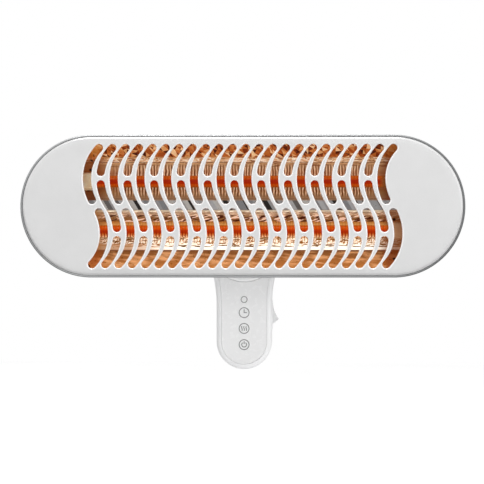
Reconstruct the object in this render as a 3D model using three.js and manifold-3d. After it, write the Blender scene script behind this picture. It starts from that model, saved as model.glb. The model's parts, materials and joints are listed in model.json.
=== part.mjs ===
// A wall heater with two quartz heating bars, in millimetres. +Z is up, the front looks along -Y, and the
// wall is the plane y = 0. The origin is the middle of the round top of the wall plate, on its back face.
//
// A lying capsule-shaped head holds the bars, their reflector and the wavy front grille. It tilts down on a
// friction hinge, which a wall column carries. The column holds the touch controls, the electronics and a
// rocker switch in its right-hand side.

import * as THREE from "three";
import { mergeVertices } from "three/addons/utils/BufferGeometryUtils.js";
import Module from "manifold-3d";

const wasm = await Module();
wasm.setup();

// ---------------------------------------------------------------- driving dimensions

const GAP = 0.3; // clearance between pieces that seat on or in each other
const FAR = 250; // past the object on every side
const THROUGH = 1; // by which a cutting tool runs past what it cuts
const SIDES = 16; // of a barrel or a large round piece
const FEW_SIDES = 8; // of a screw, a post or a wire

const HEAD = {
  z: 20, // height of the head's centre above the origin
  faceY: -118, // front face of the grille
  straight: 151.3, // half of the straight length between the round ends
  radius: 71.5, // outer radius of the round ends, half of the head's height
  depth: 50, // front face to flat back
  wall: 2.2, // rear housing
  backRadius: 50, // radius of the flat back's round ends
  backRound: 29, // depth over which the sides round off to the flat back
  endSteps: 12, // facets of each round end
};
const PANEL = {
  sheet: 1.6,
  edge: 2.5, // radius of the rounded rim
  skirt: 8, // depth of the turned-back rim
  clamped: 0.6, // by which the ring's lip reaches in past the skirt
  postRadius: 4, // posts that take the screws from behind
  postLength: 7,
  postX: 190,
  postZ: 20,
};
const SLOT = {
  columns: 23,
  pitch: 13.39,
  width: 8,
  bend: 50.4, // radius of the wave's arcs between its crests
  outerBend: 44, // and beyond them
  crest: 28, // height of the wave's crests above and below the middle
  end: 58.2, // centre of the outermost round ends
  bridge: 6.1, // from the middle of a bridge to the centre of the next round end
  step: 14, // length of a facet
};
const RING = { band: 1.8, setBack: 1.8, depth: 10, nose: 0.9, lip: 1.3 }; // the silver band round the grille
const VENT = { half: 2, low: 24, high: 40, first: 60, pitch: 16, count: 5 }; // upright slots in the flat back
const BAR = { z: 24.9, behindFace: 19, radius: 6, wall: 1, halfLength: 157 };
const COIL = { half: 146, wire: 0.6, clearance: 0.55, turns: 22, tail: 8, run: 5 };
const CAP = { size: 17.6, chamfer: 2, inner: 148, outer: 172, seat: 11, leadBore: 1.9 };
const REFLECTOR = {
  sheet: 0.8,
  halfLength: 160,
  // one half of the profile as [height from the middle, depth behind the face], from the outer edge inwards
  profile: [
    [64.5, 5.5],
    [43.5, 30],
    [33, 32.5],
    [17, 32.5],
    [8, 28],
    [5, 14],
  ],
  foot: 9, // length of the foot that each end plate stands on
  footHalf: 8, // half of its height
  screwX: 5.4, // the foot's screw, from the end plate
};
const BOSS = { radius: 4 }; // inside the housing, under each foot
const WIRE = { radius: 1.1, y: -77, outerX: 178, bend: 4 };
const TERMINALS = {
  x: 72,
  half: 20,
  z: 34,
  halfHeight: 10,
  depth: 9.5,
  pitch: 8,
  well: 1.8, // radius of each wire's well
  wellDepth: 3,
  margin: 8, // from the block's end to its wells
};
const CUTOUT = { x: -100, radius: 7.9, height: 8, lugReach: 13, lugHalf: 2, lugRise: 6, lugThick: 1 };
const HINGE = {
  z: -19.2,
  y: -54,
  pin: 4,
  barrel: 9.5,
  barrelHalf: 19.5,
  washer: 1.9, // thickness of each friction washer
  ear: 7, // thickness of each ear
  cavity: 6.5, // radius of the room for the cable in the middle of the barrel
  cavityHalf: 13,
  flange: 3.5, // thickness of the flange on the head
  above: 26, // the flange reaches this far above the axis
  below: 10,
  plate: 2, // backing plate inside the head
  head: 2.5, // thickness of each pivot's head
  neckHalf: 7, // half of the height of the neck between the barrel and the flange
  windowHalf: 5, // the window in the barrel that the cable comes in by
  windowTop: 3.5,
  knuckleScrew: { x: 12, drop: 6 }, // from the middle, and below the flange's top
  cradleScrew: { x: 15, rise: 20 }, // from the middle, and above the axis
};
const CABLE = { radius: 2.2, x: 7 }; // it comes in at -x, turns on the axis and leaves at +x
const DOME = { radius: 37.5, rise: 2.6 };
const COLUMN = {
  half: 28.3, // half width, and radius of the round foot
  footZ: -118.1, // centre of the round foot
  flareZ: -81, // where the sides begin to flare
  flareRadius: 137,
  faceY: -40,
  partingY: -13,
  wall: 2.2,
  edge: 5, // radius of the rounded rim round the control panel
  floor: 1.7, // under the control panel
  standOff: 1, // of the rear edge from the wall
  recess: 5, // depth of the hollow that takes the wall plate
};
const CONTROLS = { sheet: 2, top: -40, lamp: -74.9, lens: 3.3, touch: [-88.4, -104.6, -121.2] };
const ROCKER = {
  z: -90.8,
  y: -22,
  pivotDepth: 6.5, // pivot below the column's side
  radius: 14.4, // from the pivot to the tips
  tip: 39, // degrees from the rocker's own axis to each tip
  flank: 70, // degrees from that axis to the inner end of each flank
  flankRadius: 12.1, // from the pivot to that end
  hub: 4, // radius of the hub
  lean: 20, // degrees that the rocker leans at rest
  dish: 1.35, // hollow of the finger face
  halfWidth: 5,
  bezelHalf: 14.9,
  bezelProud: 1,
  rim: 1, // of the bezel, above and below the rocker
  under: 4.6, // room below the pivot
  wall: 1.2,
  trunnion: 1.5,
};
const BOARD = {
  sheet: 1.6,
  controlY: -32,
  control: { half: 19, low: -126, high: -66 },
  powerY: -13.6,
  power: { half: 22, low: -122, high: -48 },
  led: 1.5, // radius
};
const RELAY = { x: [-20, -8], height: 13, length: 18, low: [-88, -110] };
const TRANSFORMER = { x: [-4, 12], z: [-88, -72], core: 13, former: 15, inset: 2 };
const MAINS = {
  y: -21,
  top: -50,
  height: 14,
  halfWidth: 11,
  halfDepth: 6,
  well: 1.8, // radius of each wire's well
  wellX: 6,
  wellRise: 5, // above the block's foot
  wellDepth: 4,
};
const WALL_PLATE = { thick: 2, inset: 4, hole: 3, holes: [30, -30, -110] };
const HOOK = { x: 15, half: 4, z: 18, thick: 2, lip: 4, reach: 10 };
const GLAND = { y: -24, radius: 6, bore: 3.4, length: 9, collar: 8 };
const SCREW = { shank: 1.5, head: 3, headHeight: 1.8 };
const SHELL_POST = { radius: 3.5, boreY: -22, screwY: -20, places: [33, -131] }; // for the shell screws
const BOARD_POST = { radius: 2.5, hole: 1.2, x: 18, places: [-56, -116] };
const LOCK_TAB = { half: 6, rise: 3, height: 4, screwIn: 0.8 };
const PAD = { radius: 5.5, sheet: 1, pin: 1.5 }; // touch pads behind the panel

// ---------------------------------------------------------------- places worked out from them

const barY = HEAD.faceY + BAR.behindFace;
const coilRadius = BAR.radius - BAR.wall - COIL.clearance - COIL.wire; // of the winding's centre line
const barHeights = { upper: HEAD.z + BAR.z, lower: HEAD.z - BAR.z };
const headBackY = HEAD.faceY + HEAD.depth;
const headInnerY = headBackY - HEAD.wall; // inside of the head's back wall
const ringFrontY = HEAD.faceY + RING.setBack;
const ringBackY = ringFrontY + RING.depth;
const ringRadius = HEAD.radius - RING.band; // inside of the ring
const panelRadius = ringRadius - GAP; // outer radius of the panel's rim
// The ring's lip and the housing's tongue end at this radius.
const lipRadius = panelRadius - PANEL.sheet - PANEL.clamped;
const lipY = HEAD.faceY + PANEL.skirt + GAP;
const troughY = HEAD.faceY + REFLECTOR.profile[2][1] + REFLECTOR.sheet; // back of the reflector's troughs
const recessY = COLUMN.faceY + CONTROLS.sheet + GAP; // floor of the hollow that takes the control panel
const columnInnerY = recessY + COLUMN.floor;
const rearWallY = -COLUMN.standOff - COLUMN.recess; // back of the column's rear wall
const rearInnerY = rearWallY - COLUMN.wall;
const earInner = HINGE.barrelHalf + HINGE.washer + 2 * GAP;
const earOuter = earInner + HINGE.ear;
const flangeY = headBackY + GAP + HINGE.flange; // back face of the hinge flange
const pivot = { x: COLUMN.half - ROCKER.pivotDepth, z: ROCKER.z };

// The round top of the column is centred on the origin and tangent to the flare of its sides.
const flareX = COLUMN.half + COLUMN.flareRadius;
const topRadius = Math.hypot(flareX, COLUMN.flareZ) - COLUMN.flareRadius;
const flareAngle = Math.atan2(-COLUMN.flareZ, flareX);

// ---------------------------------------------------------------- materials

const finish = (color, roughness, metalness = 0) =>
  new THREE.MeshStandardMaterial({ color, roughness, metalness });
const enamel = finish(0xe2e3e4, 0.38);
const silver = finish(0xa3a5a7, 0.35, 0.8);
const housingEnamel = finish(0xc9cacb, 0.5);
const whitePlastic = finish(0xe6e6e6, 0.4);
const panelPlastic = finish(0xe1e1e1, 0.3);
const polished = finish(0xd29a6c, 0.15, 1);
const steel = finish(0xb0b2b4, 0.4, 1);
const castMetal = finish(0xb9babb, 0.55, 0.6);
const quartz = finish(0xe07038, 0.2);
const glowingWire = finish(0xff5a10, 0.6);
const ceramic = finish(0xe3c7a2, 0.75);
const circuitBoard = finish(0x2f6b45, 0.6);
const darkPlastic = finish(0x2b2c2e, 0.5);
const sleeve = finish(0xd8d2c4, 0.7);
const clearPlastic = finish(0xdedede, 0.2);
const brass = finish(0xc0a060, 0.35, 1);

// ---------------------------------------------------------------- solids

const root = new THREE.Group();
root.name = "bar_heater";

const radians = THREE.MathUtils.degToRad;
const at = (x, z) => new THREE.Vector2(x, z);

function solid(geometry) {
  const bare = geometry.index ? geometry.toNonIndexed() : geometry.clone();
  bare.deleteAttribute("normal");
  bare.deleteAttribute("uv");
  const merged = mergeVertices(bare, 1e-4);
  return new wasm.Manifold(
    new wasm.Mesh({
      numProp: 3,
      vertProperties: merged.attributes.position.array,
      triVerts: new Uint32Array(merged.index.array),
    }),
  );
}

const join = (...pieces) => pieces.reduce((sum, piece) => sum.add(piece));
const cut = (body, ...tools) => body.subtract(join(...tools));

function add(name, body, material) {
  const mesh = body.getMesh();
  const geometry = new THREE.BufferGeometry();
  geometry.setAttribute("position", new THREE.BufferAttribute(new Float32Array(mesh.vertProperties), 3));
  geometry.setIndex(new THREE.BufferAttribute(new Uint32Array(mesh.triVerts), 1));
  geometry.computeVertexNormals();
  const piece = new THREE.Mesh(geometry, material);
  piece.name = name;
  root.add(piece);
}

function box([x0, x1], [y0, y1], [z0, z1]) {
  const geometry = new THREE.BoxGeometry(x1 - x0, y1 - y0, z1 - z0);
  geometry.translate((x0 + x1) / 2, (y0 + y1) / 2, (z0 + z1) / 2);
  return solid(geometry);
}

// A cylinder along "x", "y" or "z", from one place to another on that axis. centre holds its other two
// coordinates in the order x, y, z.
function rod(axis, radius, [from, to], centre, sides = FEW_SIDES) {
  const geometry = new THREE.CylinderGeometry(radius, radius, Math.abs(to - from), sides);
  const middle = (from + to) / 2;
  if (axis === "x") geometry.rotateZ(-Math.PI / 2).translate(middle, centre[0], centre[1]);
  if (axis === "y") geometry.translate(centre[0], middle, centre[1]);
  if (axis === "z") geometry.rotateX(Math.PI / 2).translate(centre[0], centre[1], middle);
  return solid(geometry);
}

// A body through outlines of equal point counts, stacked from front to back. Each layer is [y, outline], and
// the outline's points run anticlockwise as seen from the front.
function stack(layers) {
  const count = layers[0][1].length;
  const points = layers.flatMap(([y, outline]) => outline.flatMap((p) => [p.x, y, p.y]));
  const index = [];
  for (let k = 0; k + 1 < layers.length; k++) {
    for (let i = 0; i < count; i++) {
      const a = k * count + i;
      const b = k * count + ((i + 1) % count);
      index.push(a, b + count, b, a, a + count, b + count);
    }
  }
  const last = (layers.length - 1) * count;
  for (const [a, b, c] of THREE.ShapeUtils.triangulateShape(layers[0][1], [])) {
    index.push(a, b, c);
    index.push(last + a, last + c, last + b);
  }
  const geometry = new THREE.BufferGeometry();
  geometry.setAttribute("position", new THREE.Float32BufferAttribute(points, 3));
  geometry.setIndex(index);
  return solid(geometry);
}

const slab = (outline, [front, back]) => stack([[front, outline], [back, outline]]);

// A body along X whose section is given as [y, z] points.
function beam(section, [x0, x1]) {
  const shape = new THREE.Shape(section.map(([y, z]) => at(y, z)));
  const geometry = new THREE.ExtrudeGeometry(shape, { depth: x1 - x0, bevelEnabled: false });
  const turn = new THREE.Matrix4().set(0, 0, 1, x0, 1, 0, 0, 0, 0, 1, 0, 0, 0, 0, 0, 1);
  return solid(geometry.applyMatrix4(turn));
}

// A round tube along a curve, square at both ends.
function tube(curve, radius, sides, steps) {
  const section = new THREE.Shape(arc(0, 0, radius, 0, 360 - 360 / sides, sides - 1));
  const settings = { steps, extrudePath: curve, bevelEnabled: false };
  return solid(new THREE.ExtrudeGeometry(section, settings));
}

// Points on an arc, in degrees from +X towards the second axis.
function arc(x, z, radius, from, to, steps) {
  return Array.from({ length: steps + 1 }, (_, i) => {
    const angle = radians(from + ((to - from) * i) / steps);
    return at(x + radius * Math.cos(angle), z + radius * Math.sin(angle));
  });
}

// The route of a cable or wire: straight runs between points [x, y, z], with each corner rounded.
function route(points, bend) {
  const places = points.map((p) => new THREE.Vector3(...p));
  const path = new THREE.CurvePath();
  let start = places[0];
  for (let i = 1; i + 1 < places.length; i++) {
    const into = places[i].clone().lerp(places[i - 1], bend / places[i].distanceTo(places[i - 1]));
    const out = places[i].clone().lerp(places[i + 1], bend / places[i].distanceTo(places[i + 1]));
    path.add(new THREE.LineCurve3(start, into));
    path.add(new THREE.QuadraticBezierCurve3(into, places[i], out));
    start = out;
  }
  path.add(new THREE.LineCurve3(start, places.at(-1)));
  return path;
}

// ---------------------------------------------------------------- outlines

// The head's outline at a given radius of its round ends.
const capsule = (radius) => [
  ...arc(HEAD.straight, HEAD.z, radius, -90, 90, HEAD.endSteps),
  ...arc(-HEAD.straight, HEAD.z, radius, 90, 270, HEAD.endSteps),
];

// The column's outline, drawn in by an inset: a round foot, straight sides, a flare and a round top.
function column(inset) {
  const turn = THREE.MathUtils.radToDeg(flareAngle);
  const right = [
    ...arc(0, COLUMN.footZ, COLUMN.half - inset, -90, 0, 6),
    ...arc(flareX, COLUMN.flareZ, COLUMN.flareRadius + inset, 180, 180 - turn, 4),
    ...arc(0, 0, topRadius - inset, -turn, 90, 8).slice(1),
  ];
  const left = right.slice(1, -1).reverse();
  return [...right, ...left.map((p) => at(-p.x, p.y))];
}

// Layers of a round-over that starts flat at the front and ends a radius further back.
const roundOver = (front, radius, outline) =>
  [0, 30, 60, 90].map((angle) => {
    const a = radians(angle);
    return [front + radius * (1 - Math.cos(a)), outline(radius * (1 - Math.sin(a)))];
  });

// ---------------------------------------------------------------- head: grille, ring and rear housing

// How far the wave has left its crest at a height above the head's middle, and how steeply it runs there.
function sag(z) {
  const rise = Math.abs(z) - SLOT.crest;
  const bend = rise > 0 ? SLOT.outerBend : SLOT.bend;
  const across = Math.sqrt(bend ** 2 - rise ** 2);
  return { off: bend - across, slope: rise / across };
}
const wave = (z) => Math.sign(z) * (sag(z).off - sag(0).off); // sideways place of a slot's centre line
const slope = (z) => sag(z).slope;

// One slot, along the wave from one end's centre up to the other's.
function slot(x, low, high) {
  const steps = Math.ceil((high - low) / SLOT.step);
  const side = (sign) =>
    Array.from({ length: steps + 1 }, (_, i) => {
      const z = low + ((high - low) * i) / steps;
      const along = Math.hypot(1, slope(z));
      const out = (sign * SLOT.width) / 2 / along;
      return at(x + wave(z) + out, HEAD.z + z - out * slope(z));
    });
  const end = (z, turn) => {
    const lean = turn - THREE.MathUtils.radToDeg(Math.atan(slope(z)));
    return arc(x + wave(z), HEAD.z + z, SLOT.width / 2, lean, lean + 180, 4).slice(1, -1);
  };
  const outline = [...side(1), ...end(high, 0), ...side(-1).reverse(), ...end(low, 180)];
  return slab(outline, [HEAD.faceY - 1, HEAD.faceY + PANEL.sheet + 1]);
}

// Every second column is bridged once, in the middle, and the others twice, at the crests.
function slots() {
  const { columns, pitch, end, bridge, crest } = SLOT;
  const pieces = [];
  for (let i = 0; i < columns; i++) {
    const x = (i - (columns - 1) / 2) * pitch;
    const bridges = i % 2 ? [-crest, crest] : [0];
    const lows = [-end, ...bridges.map((z) => z + bridge)];
    const highs = [...bridges.map((z) => z - bridge), end];
    lows.forEach((low, k) => pieces.push(slot(x, low, highs[k])));
  }
  return pieces;
}

const corners = (x, z) => [
  [x, HEAD.z + z],
  [-x, HEAD.z + z],
  [-x, HEAD.z - z],
  [x, HEAD.z - z],
];
const postPlaces = corners(PANEL.postX, PANEL.postZ);
const postEndY = HEAD.faceY + PANEL.sheet + PANEL.postLength;

function frontPanel() {
  const { sheet, edge, skirt, postRadius } = PANEL;
  const skirtY = HEAD.faceY + skirt;
  const shell = (inset) =>
    roundOver(HEAD.faceY + inset, edge - inset, (in2) => capsule(panelRadius - inset - in2));
  const outer = stack([...shell(0), [skirtY, capsule(panelRadius)]]);
  const inner = stack([...shell(sheet), [skirtY + 1, capsule(panelRadius - sheet)]]);
  const posts = postPlaces.map((p) => rod("y", postRadius, [HEAD.faceY + sheet / 2, postEndY], p));
  const boreReach = [postEndY - PANEL.postLength + 1, postEndY + THROUGH];
  const bores = postPlaces.map((p) => rod("y", SCREW.shank + GAP, boreReach, p));
  add("front_panel", cut(join(cut(outer, inner, ...slots()), ...posts), ...bores), enamel);
}

function trimRing() {
  const { nose, lip } = RING;
  const body = stack([
    [ringFrontY, capsule(HEAD.radius - nose)],
    [ringFrontY + nose, capsule(HEAD.radius)],
    [ringBackY, capsule(HEAD.radius)],
  ]);
  const front = slab(capsule(ringRadius), [ringFrontY - 1, lipY]);
  const through = slab(capsule(lipRadius), [lipY - 1, ringBackY + 1]);
  const back = slab(capsule(ringRadius), [lipY + lip, ringBackY + 1]);
  add("trim_ring", cut(body, front, through, back), silver);
}

function rearHousing() {
  const { radius, wall, backRadius, backRound } = HEAD;
  const frontY = ringBackY + GAP;
  const tongueY = lipY + RING.lip + GAP;
  const roundY = headBackY - backRound;
  const bowl = (inset) =>
    [0, 30, 60, 90].map((angle) => {
      const a = radians(angle);
      const reach = radius - backRadius - inset;
      return [roundY + (backRound - inset) * Math.sin(a), capsule(backRadius + reach * Math.cos(a))];
    });
  const outer = stack([[frontY, capsule(radius)], ...bowl(0)]);
  const tongue = slab(capsule(panelRadius), [tongueY, frontY + 1]);
  const mouth = slab(capsule(lipRadius), [tongueY - 1, roundY + 1]);
  const shell = cut(join(outer, tongue), mouth, stack([[frontY + wall, capsule(lipRadius)], ...bowl(wall)]));
  const rootY = headBackY - wall / 2; // where pillars and bosses end, inside the back wall
  const pillars = postPlaces.map((p) => rod("y", PANEL.postRadius, [postEndY + GAP, rootY], p));
  const screws = postPlaces.map((p) => rod("y", SCREW.shank + GAP, [postEndY, headBackY + 1], p));
  const bosses = reflectorScrews.map((p) => rod("y", BOSS.radius, [footBackY + GAP, rootY], p));
  const bossBores = reflectorScrews.map((p) => rod("y", SCREW.shank + GAP, [footBackY, headInnerY], p));
  const wayIn = rod("y", CABLE.radius + 2 * GAP, [headInnerY - 1, headBackY + 1], [CABLE.x, HINGE.z]);
  const hingeHoles = knuckleScrews.map((p) =>
    rod("y", SCREW.shank + GAP, [headInnerY - 1, headBackY + 1], p),
  );
  const holes = [...screws, ...bossBores, ...hingeHoles, wayIn, ...vents()];
  add("rear_housing", cut(join(shell, ...pillars, ...bosses), ...holes), housingEnamel);
}

// Two rows of upright vents in the back let the heat out.
function vents() {
  const reach = [headInnerY - THROUGH, headBackY + THROUGH];
  const row = (low, high) =>
    [-1, 1].flatMap((side) =>
      Array.from({ length: VENT.count }, (_, i) => {
        const x = side * (VENT.first + VENT.pitch * i);
        return box([x - VENT.half, x + VENT.half], reach, [HEAD.z + low, HEAD.z + high]);
      }),
    );
  return [...row(VENT.low, VENT.high), ...row(-VENT.high, -VENT.low)];
}

function housingScrews() {
  postPlaces.forEach((p, i) => {
    const headY = headBackY + GAP;
    const body = join(
      rod("y", SCREW.head, [headY, headY + SCREW.headHeight], p),
      rod("y", SCREW.shank, [postEndY - PANEL.postLength + 2, headY + 0.5], p),
    );
    add(`housing_screw_${i + 1}`, body, steel);
  });
}

// ---------------------------------------------------------------- head: reflector and heating bars

const footBackY = troughY + REFLECTOR.sheet + GAP;
const endPlateX = REFLECTOR.halfLength + GAP;
const reflectorScrews = [-1, 1].map((side) => [side * (endPlateX + REFLECTOR.screwX), HEAD.z]);

// The bent sheet's section: its front line, and the same line moved back by the sheet's thickness.
function reflector() {
  const half = REFLECTOR.profile.map(([height, depth]) => at(HEAD.faceY + depth, height));
  const front = [...half, ...half.map((p) => at(p.x, -p.y)).reverse()];
  const back = front.map((p, i) => {
    const before = p.clone().sub(front[i - 1] ?? p).normalize();
    const after = (front[i + 1] ?? p).clone().sub(p).normalize();
    const along = before.clone().add(after).normalize();
    const mitre = REFLECTOR.sheet / Math.max(along.dot(i ? before : after), 0.5);
    return at(p.x - along.y * mitre, p.y + along.x * mitre);
  });
  const section = [...front, ...back.reverse()].map((p) => [p.x, HEAD.z + p.y]);
  add("reflector", beam(section, [-REFLECTOR.halfLength, REFLECTOR.halfLength]), polished);
}

// Each end plate closes the troughs, holds two ceramic caps and stands on a foot.
function reflectorEnds() {
  const { sheet, foot, footHalf, profile } = REFLECTOR;
  const half = profile.slice(0, 3).map(([height, depth]) => [HEAD.faceY + depth, height]);
  const outline = [...half, ...half.map(([y, z]) => [y, -z]).reverse()];
  const section = outline.map(([y, z]) => [y, HEAD.z + z]);
  const hole = CAP.size / 2 + GAP;
  ["left", "right"].forEach((name, i) => {
    const side = i ? 1 : -1;
    const spanX = (from, to) => [side * from, side * to].sort((a, b) => a - b);
    const plate = beam(section, spanX(endPlateX, endPlateX + sheet));
    const footPlate = box(
      spanX(endPlateX, endPlateX + foot),
      [troughY - sheet, footBackY - GAP],
      [HEAD.z - footHalf, HEAD.z + footHalf],
    );
    const windows = Object.values(barHeights).map((z) =>
      box(spanX(endPlateX - 1, endPlateX + 2), [barY - hole, barY + hole], [z - hole, z + hole]),
    );
    const screwHole = rod("y", SCREW.shank + GAP, [troughY - 3, footBackY + 1], reflectorScrews[i]);
    add(`reflector_end_${name}`, cut(join(plate, footPlate), ...windows, screwHole), polished);
    const headY = troughY - sheet - GAP;
    const screw = join(
      rod("y", SCREW.head - 0.5, [headY - SCREW.headHeight, headY], reflectorScrews[i]),
      rod("y", SCREW.shank, [headY - 0.5, headInnerY - 2], reflectorScrews[i]),
    );
    add(`reflector_screw_${name}`, screw, steel);
  });
}

// The winding's centre line: a helix whose ends run in to the axis and on along it.
class Winding extends THREE.Curve {
  constructor(z) {
    super();
    this.z = z;
    this.arcLengthDivisions = 100 * COIL.turns;
  }
  getPoint(t) {
    const end = COIL.half + COIL.tail;
    const x = (2 * t - 1) * end;
    const inside = Math.min(Math.max((COIL.half + COIL.run / 2 - Math.abs(x)) / COIL.run, 0), 1);
    const radius = coilRadius * inside * inside * (3 - 2 * inside);
    const angle = (Math.PI * COIL.turns * x) / COIL.half;
    return new THREE.Vector3(x, barY + radius * Math.sin(angle), this.z + radius * Math.cos(angle));
  }
}

// The least gap between the wire and its own next turns, measured on points of its centre line.
function leastGap(curve, count) {
  const points = curve.getSpacedPoints(count);
  const near = Math.ceil((Math.PI * coilRadius) / (curve.getLength() / count));
  let least = Infinity;
  for (let i = 0; i < count; i++) {
    for (let k = i + near; k <= Math.min(i + 4 * near, count); k++) {
      least = Math.min(least, points[i].distanceTo(points[k]));
    }
  }
  return least - 2 * COIL.wire;
}

function heatingBars() {
  for (const [name, z] of Object.entries(barHeights)) {
    const span = [-BAR.halfLength, BAR.halfLength];
    const glass = rod("x", BAR.radius, span, [barY, z], SIDES);
    const bore = rod("x", BAR.radius - BAR.wall, [span[0] - 1, span[1] + 1], [barY, z], SIDES);
    add(`quartz_tube_${name}`, cut(glass, bore), quartz);
    const curve = new Winding(z);
    const perTurn = Math.hypot(2 * Math.PI * coilRadius, (2 * COIL.half) / COIL.turns);
    const steps = Math.round((curve.getLength() / perTurn) * 8);
    add(`heating_coil_${name}`, tube(curve, COIL.wire, 5, steps), glowingWire);
    console.log(`heating_coil_${name}: least gap to itself ${leastGap(curve, 4000).toFixed(2)} mm`);
  }
}

// Ceramic caps: square blocks with cut corners, a seat for the glass and a bore for the lead.
function ceramicCaps() {
  const { size, chamfer, inner, outer, seat, leadBore } = CAP;
  const half = size / 2;
  const flat = half - chamfer;
  for (const [row, z] of Object.entries(barHeights)) {
    const quarter = [at(half, -flat), at(half, flat), at(flat, half)];
    const section = [0, 90, 180, 270].flatMap((turn) =>
      quarter.slice(1).map((p) => p.clone().rotateAround(at(0, 0), radians(turn))),
    );
    for (const [name, side] of [["left", -1], ["right", 1]]) {
      const spanX = (from, to) => [side * from, side * to].sort((a, b) => a - b);
      const block = beam(section.map((p) => [barY + p.x, z + p.y]), spanX(inner, outer));
      const socket = rod("x", BAR.radius + GAP, spanX(inner - 1, inner + seat), [barY, z], SIDES);
      const bore = rod("x", leadBore, spanX(inner, outer + 1), [barY, z]);
      add(`ceramic_cap_${row}_${name}`, cut(block, socket, bore), ceramic);
    }
  }
}

// Sleeved leads run from the caps, round behind the reflector, to the terminal block.
function leads() {
  const { radius, y, outerX, bend } = WIRE;
  const heights = { upper: TERMINALS.z + TERMINALS.pitch / 2, lower: TERMINALS.z - TERMINALS.pitch / 2 };
  for (const [row, z] of Object.entries(barHeights)) {
    for (const [name, side] of [["left", -1], ["right", 1]]) {
      const goal = TERMINALS.x + side * (TERMINALS.half + GAP);
      const path = route(
        [
          [side * (CAP.outer + GAP), barY, z],
          [side * outerX, barY, z],
          [side * outerX, y, heights[row]],
          [goal, y, heights[row]],
        ],
        bend,
      );
      add(`lead_wire_${row}_${name}`, tube(path, radius, 6, side < 0 ? 40 : 24), sleeve);
    }
  }
}

function terminalBlock() {
  const { x, half, z, halfHeight, depth, pitch, well, wellDepth, margin } = TERMINALS;
  const backY = headInnerY - GAP;
  const body = box([x - half, x + half], [backY - depth, backY], [z - halfHeight, z + halfHeight]);
  const wells = [-1, 1].flatMap((side) =>
    [-1, 1].map((up) => [x + side * (half - margin), z + (up * pitch) / 2]),
  );
  const bores = wells.map((p) => rod("y", well, [backY - depth - THROUGH, backY - depth + wellDepth], p));
  add("terminal_block", cut(body, ...bores), whitePlastic);
}

// A disc on the back of the lower trough, with two flat lugs.
function thermalCutout() {
  const { x, radius, height, lugReach, lugHalf, lugRise, lugThick } = CUTOUT;
  const z = barHeights.lower;
  const discY = troughY + GAP;
  const disc = rod("y", radius, [discY, discY + height], [x, z], SIDES);
  const lugs = box(
    [x - lugReach, x + lugReach],
    [discY + lugRise, discY + lugRise + lugThick],
    [z - lugHalf, z + lugHalf],
  );
  add("thermal_cutout", join(disc, lugs), darkPlastic);
}

// ---------------------------------------------------------------- tilt hinge

const knuckleScrews = [-1, 1].map((side) => [
  side * HINGE.knuckleScrew.x,
  HINGE.z + HINGE.above - HINGE.knuckleScrew.drop,
]);

// The knuckle on the head: a bored barrel and a flange. A window in the barrel lets the cable in at any tilt.
function hingeKnuckle() {
  const { y, z, barrel, barrelHalf, pin, cavity, cavityHalf, flange, above, below } = HINGE;
  const { neckHalf, windowHalf, windowTop } = HINGE;
  const width = [-barrelHalf, barrelHalf];
  const body = join(
    rod("x", barrel, width, [y, z], SIDES),
    box(width, [flangeY - 1, y], [z - neckHalf, z + neckHalf]),
    box(width, [flangeY - flange, flangeY], [z - below, z + above]),
  );
  const hollows = [
    rod("x", pin + GAP, [width[0] - 1, width[1] + 1], [y, z], SIDES),
    rod("x", cavity, [-cavityHalf, cavityHalf], [y, z], SIDES),
    box([-CABLE.x - windowHalf, -CABLE.x + windowHalf], [y, y + barrel + 1], [z - barrel - 1, z + windowTop]),
    rod("y", CABLE.radius + GAP, [flangeY - flange - 1, y], [CABLE.x, z]),
    ...knuckleScrews.map((p) => rod("y", SCREW.shank + GAP, [flangeY - flange - 1, flangeY + 1], p)),
  ];
  add("hinge_knuckle", cut(body, ...hollows), castMetal);
}

// A plate inside the head spreads the hinge's load and takes its screws.
function backingPlate() {
  const { z, above, below, plate, barrelHalf } = HINGE;
  const backY = headInnerY - GAP;
  const reach = [backY - plate - 1, backY + 1];
  const body = box([-barrelHalf, barrelHalf], [backY - plate, backY], [z - below + 3, z + above]);
  const holes = [
    rod("y", CABLE.radius + 2 * GAP, reach, [CABLE.x, z]),
    ...knuckleScrews.map((p) => rod("y", SCREW.shank + GAP, reach, p)),
  ];
  add("hinge_backing_plate", cut(body, ...holes), steel);
  knuckleScrews.forEach((p, i) => {
    const headY = flangeY + GAP;
    const screw = join(
      rod("y", SCREW.head, [headY, headY + SCREW.headHeight], p),
      rod("y", SCREW.shank, [backY - plate - 1, headY + 0.5], p),
    );
    add(`knuckle_screw_${i + 1}`, screw, steel);
  });
}

const cradleScrews = [-1, 1].map((side) => [side * HINGE.cradleScrew.x, HINGE.z + HINGE.cradleScrew.rise]);

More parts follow.
